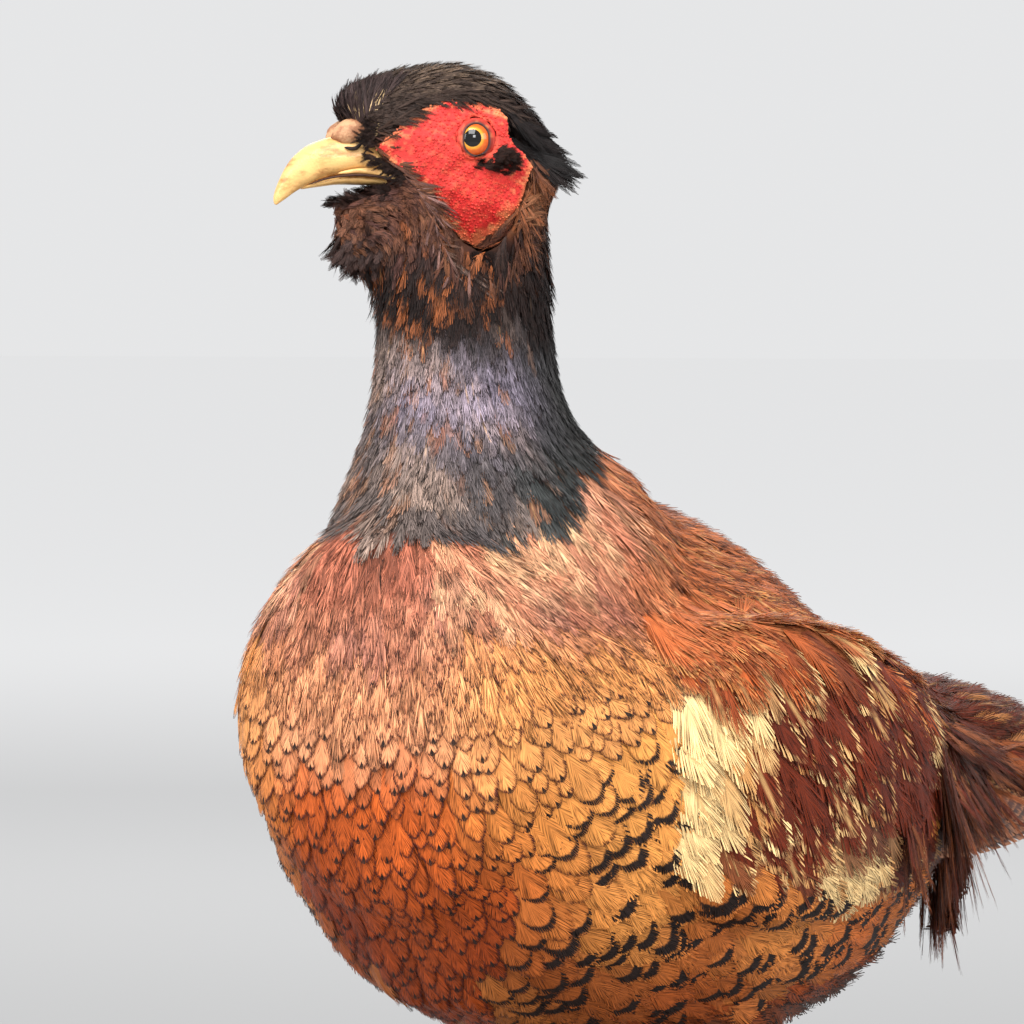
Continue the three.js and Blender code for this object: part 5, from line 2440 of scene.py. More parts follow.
    def ear_patch(self, plumes: Plumes, rng: np.random.Generator, hand: Hand) -> None:
        """The patch of small dark feathers behind and below the eye.

        Args:
            plumes: the piece that the feathers go into.
            rng: the source of chance.
            hand: which side of the bird.
        """
        count = 250
        in_tail = rng.random(count) < 0.24
        along, over = rng.random(count), rng.uniform(-1, 1, count)
        turn, far = np.pi * over, np.sqrt(along)
        ahead = np.where(in_tail, 1.4 - 6.0 * along, -7.1 + 3.6 * far * np.cos(turn))
        up = np.where(in_tail, -7.5 - 1.6 * along + (0.3 + 0.7 * along) * over,
                      -6.9 + 3.6 * far * np.sin(turn) - 0.15 * far * np.cos(turn))
        roots, normals = self.on_cheek(hand, HEAD.out(ahead, hand.value * 19.0, up))
        headings = HEAD.turn_out(-0.9, hand.value * 0.1, 0.25 + rng.normal(0, 0.3, count))
        headings = unit(turned_off(headings, normals))
        length = 2.2 + 1.2 * rng.random(count)
        paths, facing = stand_out(roots, headings, normals, length, np.full(count, 0.02), 5)
        tone = plain_look(tint(40, 24, 19), count, rng, 1.1)
        plumes.add(paths, facing, 0.9 + 0.5 * rng.random(count), tone, 0.45, 0.16)

    def on_cheek(self, hand: Hand, points: Array) -> tuple[Array, Array]:
        """The nearest places on a cheek and the normals there.

        Args:
            hand: which side of the bird.
            points: places in millimetres.

        Returns:
            The places and their normals.
        """
        near, normals = np.empty_like(points), np.empty_like(points)
        for i, point in enumerate(points):
            near[i], normals[i] = self.cheeks[hand].find_nearest(Vector(point))[:2]
        return near, normals

    def cheek_fringe(self, plumes: Plumes, rng: np.random.Generator, hand: Hand) -> None:
        """Hair-like feathers that overhang the rim of the bare cheek.

        Args:
            plumes: the piece that the feathers go into.
            rng: the source of chance.
            hand: which side of the bird.
        """
        count = 560
        angle = rng.uniform(0, 2 * np.pi, count)
        grid = np.linspace(4, 38, 160)
        ahead, up = np.empty(count), np.empty(count)
        for i, a in enumerate(angle):
            x, y = CHEEK[0] + grid * math.cos(a), CHEEK[1] + grid * math.sin(a)
            k = int(np.argmin(np.abs(wattle_reach(x, y) - 1.0 - 0.3 * rng.random())))
            ahead[i], up[i] = x[k], y[k]
        up = up - sag(up)
        roots, normals = self.hide.drop(HEAD.out(ahead, hand.value * 17.0, up))
        flow = SPINE.lie(roots, normals)
        length = 4.6 + 4.2 * rng.random(count)
        turn = rng.normal(0, 0.3, count)[:, None]
        headings = unit(flow * np.cos(turn) + np.cross(normals, flow) * np.sin(turn) + 0.2 * normals)
        paths, facing = stand_out(roots + normals * 0.9, headings, normals, length, np.full(count, 0.1), 5)
        tone = mix(mix(DYE.throat, DYE.cheek, rng.random(count)), DYE.crown, ramp(-4, 3, up))
        behind = ramp(2, -8, ahead) * ramp(-2, -10, up) * ramp(-31, -24, up)
        tone = mix(tone, mix(DYE.cheek, DYE.rust, 0.7 * rng.random(count)), 0.8 * behind)
        pale = (rng.random(count) > 0.7) * ramp(-6, -14, up) * ramp(-3, 3, ahead)
        tone = mix(tone, tint(128, 98, 92), 0.6 * pale)
        plumes.add(paths, facing, 0.55 + 0.5 * rng.random(count), Look(tone, DYE.soot).paints(rng, 0.9))

    def nape_hair(self, plumes: Plumes, rng: np.random.Generator, hand: Hand) -> None:
        """Fine hairs that sweep back from the lower rim of the cheek and hang below it.

        Args:
            plumes: the piece that the feathers go into.
            rng: the source of chance.
            hand: which side of the bird.
        """
        count = 480
        angle = np.radians(rng.uniform(-184, -62, count))
        beyond = 0.95 + 0.45 * rng.random(count)
        x, y = np.cos(angle), np.sin(angle)
        step = beyond / wattle_reach(CHEEK[0] + x, CHEEK[1] + y)
        ahead, up = CHEEK[0] + step * x, CHEEK[1] + step * y
        up = up - sag(up)
        roots, normals = self.hide.drop(HEAD.out(ahead, hand.value * 17.0, up))
        low = ramp(-24, -34, up)
        headings = HEAD.turn_out(-0.85, hand.value * 0.1, 0.2 - 0.95 * low + rng.normal(0, 0.15, count))
        headings = unit(turned_off(headings, normals) + 0.03 * normals)
        length = 4.5 + 3.5 * rng.random(count)
        paths, facing = stand_out(roots + normals * 0.6, headings, normals, length, np.full(count, 0.02), 5)
        near = ramp(1.2, 1.0, beyond) * ramp(-32, -26, up)
        tone = mix(mix(DYE.cheek, tint(150, 102, 68), 0.55 * near * rng.random(count)), DYE.nape, 0.85 * low)
        tone = mix(tone, tint(120, 98, 88), 0.6 * low * (rng.random(count) > 0.75))
        plumes.add(paths, facing, 0.5 + 0.4 * rng.random(count), Look(tone, DYE.soot).paints(rng, 0.9))


@dataclass
class Scapulars:
    """The soft feathers of one shoulder, which bridge the dip above the wing."""

    hide: Hide
    hand: Hand
    count: int = 240

    def build(self) -> None:
        """Lays them from the shoulder out over the top of the wing."""
        rng = np.random.default_rng(SEED + 21 + self.hand.value)
        side = self.hand.value
        y = np.sort(rng.uniform(-60, 54, self.count))[::-1]
        over = rng.random(self.count)
        roots = np.stack([side * (42 + 28 * over), y, 277 - 10 * over - 0.28 * np.maximum(y + 10, 0)], 1)
        rear = ramp(-56, -6, y)[:, None]
        steep, level = np.array([side * 0.35, 0.3, -1.0]), np.array([side * 0.35, 0.62, -0.62])
        headings = (1 - rear) * steep + rear * level + rng.normal(0, 0.1, (self.count, 3))
        length = 19 + 7 * rng.random(self.count)
        paths, normals = taut(*creep(self.hide, roots, unit(headings), length, 7), rounds=12)
        tips = paths[:, -1]
        look = Plumage.mantle(tips, rng.random((4, self.count)))
        low = ramp(266, 250, tips[:, 2])
        look.vane = mix(look.vane, mix(DYE.chestnut, DYE.orange, rng.random(self.count)), 0.3 + 0.5 * low)
        look.rim = mix(look.rim, mix(DYE.mantle, DYE.buff, rng.random(self.count)), 0.6)
        cuts = variants(3, barbs=20, slant=0.6, free=0.3, narrow=0.5, ragged=0.1, point=0.7)
        plumes = Plumes(f"scapulars_{self.hand.word}", (), cuts, FeatherFinish(
            "scapular_feathers", "body_feather", lines=40, depth=0.45))
        plumes.add(paths, normals, 7.5 + 2.5 * rng.random(self.count), look.paints(rng), 0.5, 0.09)
        plumes.build()


@dataclass
class Fringe:
    """Long loose maroon feathers that hang from one side of the rump, over the flight feathers."""

    hide: Hide
    hand: Hand
    groups: tuple = (
        # count, first root, last root, heading, shortest, longest, width
        (60, (58, 56, 240), (56, 78, 222), (0, 0.3, -0.95), 34, 50, 2.4),
        (30, (62, 38, 216), (60, 54, 208), (0, 0.32, -0.95), 13, 22, 2.4),
        (120, (56, 72, 236), (42, 168, 226), (0, 0.9, -0.42), 24, 34, 3.0),
        (190, (56, 70, 222), (34, 190, 212), (0, 0.72, -0.7), 18, 30, 2.6),
        (50, (32, 118, 204), (28, 142, 192), (0, 0.1, -1.0), 22, 32, 2.2),
    )

    def build(self) -> None:
        """Lays every group of the fringe as one piece."""
        rng = np.random.default_rng(SEED + 31 + self.hand.value)
        cuts = variants(3, barbs=15, slant=0.4, free=0.25, narrow=0.4, ragged=0.16, point=0.9, broadest=0.45)
        plumes = Plumes(f"rump_fringe_{self.hand.word}", (), cuts, FeatherFinish(
            "fringe_feathers", "rump_feather", lines=30, depth=0.5))
        side = np.array([self.hand.value, 1, 1])
        for count, first, last, heading, short, long, width in self.groups:
            t = rng.random((count, 1))
            places = (np.array(first) * (1 - t) + np.array(last) * t + rng.normal(0, 2.0, (count, 3))) * side
            roots, normals = self.hide.drop(places)
            headings = unit(np.array(heading) * side + rng.normal(0, 0.09, (count, 3)))
            inward = (headings * normals).sum(1, keepdims=True)
            headings = unit(headings - np.minimum(inward, 0) * normals)
            length = short + (long - short) * rng.random(count)
            roots = roots + normals * (1.2 + 1.5 * rng.random((count, 1)))
            paths, facing = stand_out(roots, headings, normals, length, rng.normal(0.04, 0.04, count), 6)
            tone = mix(DYE.maroon, DYE.umber, rng.random(count))
            tone = mix(tone, DYE.rust, 0.55 * (rng.random(count) > 0.6))
            plumes.add(paths, facing, width * (0.7 + 0.6 * rng.random(count)),
                       Look(tone, DYE.umber, 0.2).paints(rng, 0.7))
        plumes.build()


@dataclass
class Tail:
    """Eighteen graduated tail feathers, laid like the two sides of a roof."""

    root: tuple[float, float, float] = (0.0, 176.0, 232.0)
    lengths: tuple[float, ...] = (470, 432, 384, 334, 288, 242, 202, 168, 138)
    droop: float = math.radians(8.5)
    roof: float = math.radians(26)
    bar_gap: float = 17.5

    def point(self, along: Array, across: Array, over: Array) -> Array:
        """A world point from the distances along, across and over the tail.

        Args:
            along: how far back from the root.
            across: how far to the bird's left.
            over: how far above.

        Returns:
            The places in millimetres.
        """
        c, s = math.cos(self.droop), math.sin(self.droop)
        x, y, z = self.root
        return np.stack([x + across, y + along * c + over * s, z - along * s + over * c], -1)

    def build(self) -> None:
        """Lays the feathers from the outermost pair to the long middle pair."""
        rng = np.random.default_rng(SEED + 5)
        cuts = variants(3, barbs=64, slant=0.05, free=0.8, narrow=0.7, ragged=0.05, broadest=0.3, point=0.72,
                        camber=0.035, gather=1.0)
        plumes = Plumes("tail_feathers", ("tail_centre", "tail_left", "tail_right"), cuts,
                        BarredFinish("tail_feathers", "tail_feather", dark=tint(40, 24, 20)))
        s = np.linspace(0, 1, 16)
        for hand in Hand:
            for k, length in enumerate(self.lengths):
                tip = 4.5 + 3.2 * k
                across = hand.value * (2.5 + 1.6 * k + (tip - 2.5 - 1.6 * k) * s**1.2)
                over = 4.3 - np.abs(across) * math.tan(self.roof) - 0.55 * k - 1.2 * s**2
                over = over - (0.5 if hand is Hand.RIGHT and k == 0 else 0.0)
                path = self.point(length * s, across, over)[None]
                tilt = self.roof * (0.75 if k else 0.35)
                face = np.array([hand.value * math.sin(tilt), math.sin(self.droop) * math.cos(tilt),
                                 math.cos(self.droop) * math.cos(tilt)])
                look = Look(mix(tint(150, 108, 70), tint(128, 88, 58), 0.5 * (k % 2))[None],
                            tint(122, 62, 46), rim_width=0.3 - 0.02 * k,
                            bar=length / self.bar_gap / BARS_PER_PAINT, streak=1.0)
                plumes.add(path, np.broadcast_to(face, path.shape), 31 - 1.3 * k, look.paints(rng, 0.15))
        plumes.build()


@dataclass
class Quills:
    """The flight feathers of one folded wing, whose tips show behind the coverts."""

    hand: Hand
    count: int = 10
    bars: int = 13

    def build(self) -> None:
        """Lays the quills from the lowest and longest up to the shortest."""
        rng = np.random.default_rng(SEED + 7 + self.hand.value)
        cuts = variants(2, barbs=34, slant=0.1, free=0.8, narrow=0.75, ragged=0.03, broadest=0.5, point=0.5,
                        camber=0.05, gather=1.0)
        plumes = Plumes(f"wing_quills_{self.hand.word}", (f"wing_tip_{self.hand.word}",), cuts,
                        BarredFinish("wing_quills", "wing_feather", dark=tint(62, 36, 28), share=0.5,
                                     sweep=0.9, wander=1.4, lines=120.0))
        s = np.linspace(0, 1, 9)[:, None]
        side = self.hand.value
        for k in range(self.count):
            t = k / (self.count - 1)
            start = np.array([60 - 3 * t, 30 - 26 * t, 206 + 20 * t])
            middle = np.array([51 - 1 * t, 118 - 24 * t, 205 + 15 * t])
            end = np.array([34 + 9 * t, 194 - 62 * t, 203 + 17 * t])
            path = start * (1 - s) ** 2 + middle * 2 * s * (1 - s) + end * s**2
            path[:, 0] = (path[:, 0] + 1.2 + 0.35 * k) * side
            normal = np.tile(unit(np.array([side * 0.86, 0.16, 0.48])), (1, len(s), 1))
            look = Look(mix(tint(74, 42, 30), tint(88, 38, 22), t)[None], tint(150, 96, 62), rim_width=0.14,
                        bar=self.bars / BARS_PER_PAINT, streak=1.0)
            plumes.add(path[None], normal, 17.0, look.paints(rng, 0.2))
        plumes.build()


# ---------------------------------------------------------------- head without feathers


# Each section of a horn: its top (ahead, up), its bottom (ahead, up) and its half-width.
BILL_UPPER = (
    (20.0, -7.0, 19.6, -11.9, 6.4), (23.0, -4.0, 22.6, -10.9, 7.3), (26.5, -0.9, 26.0, -10.3, 7.3),
    (30.5, 0.3, 29.7, -9.9, 7.0), (34.5, 0.1, 33.5, -10.5, 6.4), (38.5, -1.0, 37.0, -11.1, 5.7),
    (42.2, -2.6, 40.4, -12.2, 4.9), (45.6, -5.1, 43.6, -13.7, 4.0), (48.2, -8.4, 46.2, -15.3, 3.1),
    (50.0, -11.9, 48.4, -16.9, 2.2), (51.2, -15.0, 50.0, -18.0, 1.4), (51.7, -17.2, 51.1, -18.8, 0.6),
)
BILL_LOWER = (
    (20.0, -11.4, 20.0, -13.8, 5.8), (25.0, -10.6, 25.0, -13.1, 5.6), (30.0, -10.0, 30.0, -13.0, 5.0),
    (34.5, -10.6, 34.5, -13.0, 4.2), (38.5, -11.4, 38.5, -13.5, 3.3), (42.0, -12.5, 42.0, -14.0, 2.3),
    (44.3, -13.6, 44.3, -14.4, 1.2),
)


@dataclass
class Bill:
    """Both halves of the bill, with the fleshy lid over each of the nostrils."""

    horn: Finish = TwoToneFinish(
        "bill_keratin", "bill_horn", roughness=0.36, specular=0.4, coat=0.1, first=tint(226, 180, 112),
        second=tint(168, 112, 58), blotch=130.0, grain=2200.0, bump=0.45, stretch=(1.0, 1.0, 2.6),
        low=0.44, high=0.7)

    @staticmethod
    def rings(sections: tuple, rows: int, columns: int, blunt: tuple[float, float]) -> Array:
        """Rings through cross-sections given in the head's own coordinates.

        Args:
            sections: the cross-sections from back to front.
            rows: how many rings to make.
            columns: how many points each ring has.
            blunt: the share of the length over which each end is rounded off.

        Returns:
            An array of rings of points.
        """
        t = (1 - np.cos(np.linspace(0, np.pi, rows))) / 2
        knots = np.linspace(0, 1, len(sections))
        table = np.array(sections)
        top_a, top_u, low_a, low_u, half = (smooth_through(knots, table[:, k], t)[:, None] for k in range(5))
        taper = (end_rounding(t, blunt[0]) * end_rounding(1 - t, blunt[1]))[:, None]
        angle = np.linspace(0, 2 * np.pi, columns, endpoint=False)[None]
        c, s = np.cos(angle) * taper, np.sin(angle)
        full = np.where(c > 0, 0.95, 0.72)
        ahead = (top_a + low_a) / 2 + (top_a - low_a) / 2 * c
        up = (top_u + low_u) / 2 + (top_u - low_u) / 2 * c
        return HEAD.out(ahead, half * taper * np.sign(s) * np.abs(s) ** full, up)

    def build(self) -> None:
        """Builds the upper half, the lower half, the corners of the mouth and the lids of the nostrils."""
        upper = self.rings(BILL_UPPER, 64, 44, (0.0, 0.05))
        local = HEAD.into(upper)
        ahead, up = local[..., 0], local[..., 2]
        groove = bump_at(-4.2, 1.6, up) * ramp(26, 30, ahead) * ramp(42, 36, ahead)
        local[..., 1] *= 1 - 0.07 * groove
        wear = wander((local * [0.5, 1, 1]).reshape(-1, 3), 2.4, 81).reshape(ahead.shape) - 0.5
        local[..., 1] *= 1 + 0.05 * wear * ramp(52, 46, ahead)
        local[..., 2] += 0.25 * wear * ramp(-8, -2, up)
        for name, node, rings in (
            ("bill_upper_horn", "bill_upper", HEAD.out(*np.moveaxis(local, -1, 0))),
            ("bill_lower_horn", "bill_lower", self.rings(BILL_LOWER, 30, 36, (0.0, 0.08))),
        ):
            half = tube_object(name, rings)
            self.horn.dress(half)
            attach(half, node)
        for hand in Hand:
            self.mouth(hand)
        self.cere()

    @staticmethod
    def strip(
        hand: Hand, stations: tuple, rows: int = 26, columns: int = 12,
        blunt: tuple[float, float] = (0.12, 0.2),
    ) -> Array:
        """Rings of a strip through stations of (ahead, up, left, half-width, half-height over, under).

        Args:
            hand: the side of the bill.
            stations: the sections that it passes through. The last number may be left out.
            rows: how many rings to make.
            columns: how many points each ring has.
            blunt: the share of the length over which each end is rounded off.

        Returns:
            An array of rings of points.
        """
        table = [[*HEAD.out(ahead, hand.value * left, up), wide, over, *(under or [over])]
                 for ahead, up, left, wide, over, *under in stations]
        return sweep_rings(table, HEAD.turn_out(0, 1, 0), rows, columns, blunt)

    def mouth(self, hand: Hand) -> None:
        """The pale corner of the mouth on one side, and the dark line between the halves.

        Args:
            hand: which side of the bird.
        """
        corner = self.strip(hand, (
            (35.0, -10.1, 4.7, 0.4, 0.4), (30.5, -9.5, 5.7, 0.7, 0.7), (26.0, -9.6, 7.0, 0.8, 0.95),
            (22.6, -10.4, 8.3, 0.8, 0.8), (19.3, -12.0, 9.4, 0.35, 0.35)))
        line = self.strip(hand, (
            (42.6, -13.1, 2.6, 0.3, 0.22), (38.0, -11.5, 4.3, 0.5, 0.26), (34.0, -10.8, 5.3, 0.6, 0.3),
            (30.0, -10.5, 6.2, 0.8, 0.34), (26.0, -10.7, 7.2, 0.9, 0.36), (22.5, -11.4, 8.4, 0.8, 0.34),
            (19.2, -12.4, 9.4, 0.4, 0.3)))
        dark = TwoToneFinish("mouth", "bill_horn", roughness=0.8, first=tint(64, 34, 20),
                             second=tint(30, 17, 12))
        for name, rings, finish in (("gape", corner, self.horn), ("mouth_line", line, dark)):
            piece = tube_object(f"{name}_{hand.word}", rings)
            finish.dress(piece)
            attach(piece)

    def cere(self) -> None:
        """The swollen bare lids over the nostrils, and under each a dark slit painted as the shadow beneath
        the lid.
        """
        rng = np.random.default_rng(SEED + 11)
        flesh = TwoToneFinish("cere", "bare_skin", roughness=0.6, first=tint(196, 148, 108),
                              second=tint(150, 98, 66), blotch=300.0, grain=2600.0, bump=0.8)
        # Painted shadow: the dark slit under each lid stands for the shade there.
        dark = TwoToneFinish("nostril_shadow", "bare_skin", roughness=0.9, first=tint(40, 26, 20),
                             second=tint(24, 14, 10))
        lid = ((24.5, 1.4, 3.9, 2.2, 1.8), (27.8, 1.4, 3.9, 3.0, 2.6, 2.9), (31.2, 0.7, 3.9, 3.4, 3.2, 3.9),
               (34.0, 0.2, 3.6, 2.9, 2.7, 3.0), (36.4, -0.5, 3.0, 1.6, 1.3, 1.2))
        slit = ((28.8, -2.0, 6.9, 0.5, 0.55, 0.5), (31.0, -3.5, 6.9, 0.5, 0.55, 0.5),
                (33.6, -3.2, 6.2, 0.5, 0.55, 0.5))
        for name, stations, rows, columns, blunt, uneven, finish in (
            ("nostril_shadow_lid", lid, 20, 24, 0.3, 0.07, flesh), ("nostril_shadow", slit, 10, 10, 0.4, 0.0, dark),
        ):
            for hand in Hand:
                rings = self.strip(hand, stations, rows, columns, (blunt, blunt))
                piece = tube_object(f"{name}_{hand.word}", rings + rng.normal(0, uneven, rings.shape))
                finish.dress(piece)
                attach(piece)


def papillae_group() -> bpy.types.NodeTree:
    """Geometry nodes that cover the outer face of a wattle with small round papillae.

    Returns:
        The node tree.
    """
    tree = bpy.data.node_groups.new("Papillae", "GeometryNodeTree")
    face = tree.interface
    face.new_socket("Geometry", in_out="INPUT", socket_type="NodeSocketGeometry")
    for title, kind, value in (("Outwards", VECTOR, (1, 0, 0)), ("Spacing", FLOAT, 0.00072),
                               ("Radius", FLOAT, 0.00036), ("Seed", "NodeSocketInt", 4),
                               ("Material", "NodeSocketMaterial", None)):
        socket = face.new_socket(title, in_out="INPUT", socket_type=kind)
        if value is not None:
            socket.default_value = value
    face.new_socket("Geometry", in_out="OUTPUT", socket_type="NodeSocketGeometry")
    given, end = new_node(tree, "NodeGroupInput").outputs, new_node(tree, "NodeGroupOutput")
    normal = Wire(new_node(tree, "GeometryNodeInputNormal").outputs[0])
    outer = new_node(tree, "FunctionNodeCompare", data_type="FLOAT", operation="GREATER_THAN",
                     A=vector_maths("DOT_PRODUCT", normal, given["Outwards"]), B=0.15)
    scatter = new_node(tree, "GeometryNodeDistributePointsOnFaces", distribute_method="POISSON",
                       Mesh=given["Geometry"], Selection=outer.outputs[0], Seed=given["Seed"],
                       Distance_Min=given["Spacing"], Density_Max=2.5e6)
    ball = new_node(tree, "GeometryNodeMeshIcoSphere", Radius=given["Radius"], Subdivisions=1)
    size = new_node(tree, "FunctionNodeRandomValue", data_type="FLOAT")
    size.inputs[2].default_value, size.inputs[3].default_value = 0.55, 1.35
    place = new_node(tree, "GeometryNodeInstanceOnPoints", Points=scatter.outputs["Points"],
                     Instance=ball.outputs["Mesh"], Scale=size.outputs[1])
    real = new_node(tree, "GeometryNodeRealizeInstances", Geometry=place.outputs[0])
    both = new_node(tree, "GeometryNodeJoinGeometry", Geometry=real.outputs[0])
    feed(both.inputs[0], given["Geometry"])
    smooth = new_node(tree, "GeometryNodeSetShadeSmooth", Geometry=both.outputs[0])
    dress = new_node(tree, "GeometryNodeSetMaterial", Geometry=smooth.outputs[0], Material=given["Material"])
    feed(end.inputs[0], dress.outputs[0])
    return tree


def apply_nodes(thing: bpy.types.Object, tree: bpy.types.NodeTree, **values: object) -> None:
    """Runs a geometry node tree on an object and keeps the result as its plain mesh.

    Args:
        thing: the object.
        tree: the node tree.
        **values: the tree's inputs by name.
    """
    modifier = thing.modifiers.new(tree.name, "NODES")
    modifier.node_group = tree
    for item in tree.interface.items_tree:
        if item.item_type == "SOCKET" and item.in_out == "INPUT" and item.name in values:
            modifier[item.identifier] = values[item.name]
    keep_result(thing)


@dataclass
class Wattle:
    """The bare red skin of one cheek, with papillae all over it."""

    hand: Hand

    def build(self) -> bpy.types.Object:
        """Softens the solid, paints it, covers it with papillae and returns it.

        Returns:
            The linked object.
        """
        node = f"wattle_{self.hand.word}"
        skin = softened(f"{node}_skin", (node,), 0.7, 2)
        points, normals = vertex_vectors(skin.data, "co") / MM, vertex_vectors(skin.data, "normal")
        # The opening goes with the eye, which sits a little behind and below the solid's.
        ahead, _, up = HEAD.into(points).T
        points = points + ramp(12, 6, np.hypot(ahead, up))[:, None] * HEAD.turn_out(EYE.ahead, 0, EYE.up)
        lumps = 0.5 * (wander(points, 3.2, 61) - 0.5) + 0.7 * (wander(points, 7.5, 62) - 0.5)
        ahead, _, up = HEAD.into(points).T
        socket = np.exp(-((np.hypot(1.15 * (ahead - EYE.ahead), up - EYE.up) - 4.8) / 2.4) ** 2)
        points = points + normals * (lumps - 0.4 - 0.35 * socket)[:, None]
        points[:, 2] -= sag(up)
        move_to(skin.data, points)
        write_colours(skin.data, "vane", self.paint(points))
        finish = PaintedFinish("wattle_skin", "bare_skin", roughness=0.72, blotch=1100.0, grain=3000.0,
                               depth=0.85, bump=0.9)
        finish.dress(skin)
        outward = tuple(float(v) for v in HEAD.turn_out(0, self.hand.value, 0))
        apply_nodes(skin, bpy.data.node_groups.get("Papillae") or papillae_group(), Outwards=outward,
                    Seed=4 + self.hand.value, Material=bpy.data.materials["wattle_skin"])
        finish.dress(skin)
        attach(skin, node)
        return skin

    @staticmethod
    def paint(points: Array) -> Array:
        """Red, deeper below, with orange and cream flecks that gather along the rim.

        Args:
            points: places in millimetres.

        Returns:
            A colour and an alpha for each point.
        """
        ahead, _, up = HEAD.into(points).T
        reach = wattle_reach(ahead, up)
        red = mix(np.broadcast_to(tint(204, 44, 38), points.shape), tint(206, 36, 30), ramp(-6, -22, up))
        red = mix(red, tint(212, 62, 48), 0.25 * ramp(0.5, 0.8, wander(points, 5.0, 63)))
        grain = wander(points, 0.9, 64)
        fleck = ramp(0.66, 0.82, grain) * (0.2 + 0.8 * ramp(0.7, 0.97, reach))
        red = mix(red, tint(236, 150, 96), 0.75 * fleck)
        rim = ramp(0.86, 0.98, reach + 0.16 * (wander(points, 2.6, 65) - 0.5))
        red = mix(red, tint(222, 134, 84), 0.6 * rim)
        patch = np.hypot((ahead + 8.0) / 4.4, (up + 6.1) / 4.4)
        ring = 0.55 * bump_at(1.0, 0.14, patch) * ramp(0.35, 0.6, grain) * ramp(-5, -8, up)
        red = mix(red, tint(226, 160, 104), ring)
        eye = np.hypot(1.2 * (ahead - EYE.ahead), up - EYE.up)
        red = mix(red, tint(206, 82, 52), 0.5 * ramp(7.4, 5.8, eye + 1.2 * (grain - 0.5)))
        return np.column_stack([red, np.ones(len(points))])


@dataclass
class Eye:
    """A glass eye and the lids round it."""

    hand: Hand

    def build(self) -> None:
        """Builds the ball and the ring of lid."""
        centre, look = EYE.centre(self.hand), EYE.look(self.hand)
        up = unit(np.cross(look, unit(np.cross(np.array([0, 0, 1.0]), look))))
        right = np.cross(up, look)
        polar = np.linspace(0.02, np.pi - 0.02, 40)[:, None]
        turn = np.linspace(0, 2 * np.pi, 56, endpoint=False)[None]
        radius = EYE.radius * (1 + 0.025 * np.exp(-((polar / 0.5) ** 2)))
        ball = (centre + (radius * np.cos(polar) * np.ones_like(turn))[..., None] * look
                + (radius * np.sin(polar) * np.cos(turn))[..., None] * right
                + (radius * np.sin(polar) * np.sin(turn))[..., None] * up)
        node = f"eye_{self.hand.word}"
        glass = tube_object(f"{node}_glass", ball)
        EyeFinish(f"glass_{node}", "glass_eye", hand=self.hand).dress(glass)
        attach(glass, node)
        self.lids(centre)

    def lids(self, centre: Array) -> None:
        """The thick rim of skin round the opening, which rests on the ball.

        Args:
            centre: the middle of the eye.
        """
        out = unit(HEAD.turn_out(0.1, self.hand.value, 0.02))
        up = unit(np.array([0, 0, 1.0]) - out[2] * out)
        ahead = np.cross(up, out) * (1 if np.dot(np.cross(up, out), HEAD.turn_out(1, 0, 0)) > 0 else -1)
        turn = np.linspace(0, 2 * np.pi, 72, endpoint=False)
        c, s = np.cos(turn), np.sin(turn)
        # The opening is taller than it is long and a little pointed at its two corners.
        opening = np.radians(31.5) * np.abs(c) ** 1.6 + np.radians(42) * np.abs(s) ** 1.6
        opening = opening / (np.abs(c) ** 1.6 + np.abs(s) ** 1.6)
        profile = np.array([
            (0.0, 0.05), (0.03, 0.3), (0.09, 0.46), (0.16, 0.4), (0.21, 0.24), (0.24, 0.28), (0.32, 0.5),
            (0.42, 0.34), (0.56, 0.0), (0.66, -0.9), (0.3, -1.1), (0.0, -0.5),
        ])
        rings = []
        for c_k, s_k, open_k in zip(c, s, opening):
            ring = []
            for k, (further, rise) in enumerate(profile):
                polar = open_k + further * (1 + 0.12 * math.sin(7 * math.atan2(s_k, c_k) + k))
                radius = EYE.radius + 0.12 + rise * 0.95
                direction = out * math.cos(polar) + (ahead * c_k + up * s_k) * math.sin(polar)
                ring.append(centre + direction * radius)
            rings.append(ring)
        rings = np.array(rings)
        quads = grid_faces(*rings.shape[:2], looped=True)
        points = rings.reshape(-1, 3)
        level = np.tile(profile[:, 0], len(rings))
        grain = wander(points, 1.4, 71)
        fresh = mix(tint(164, 46, 28), tint(208, 112, 66), ramp(0.55, 0.85, grain))
        colours = mix(tint(44, 14, 10), fresh, ramp(0.02, 0.14, level))
        colours = mix(colours, tint(200, 44, 36), ramp(0.15, 0.4, level + 0.2 * (grain - 0.5)))
        lid = mesh_from_arrays(f"eyelid_{self.hand.word}", points, quads.ravel(), np.full(len(quads), 4),
                               paints={"vane": np.column_stack([colours, np.ones(len(points))])})
        face_outwards(lid.data)
        PaintedFinish("eyelid", "bare_skin", roughness=0.6, blotch=700.0, grain=3600.0, depth=0.4,
                      bump=0.6).dress(lid)
        attach(lid)


# ---------------------------------------------------------------- legs and stand


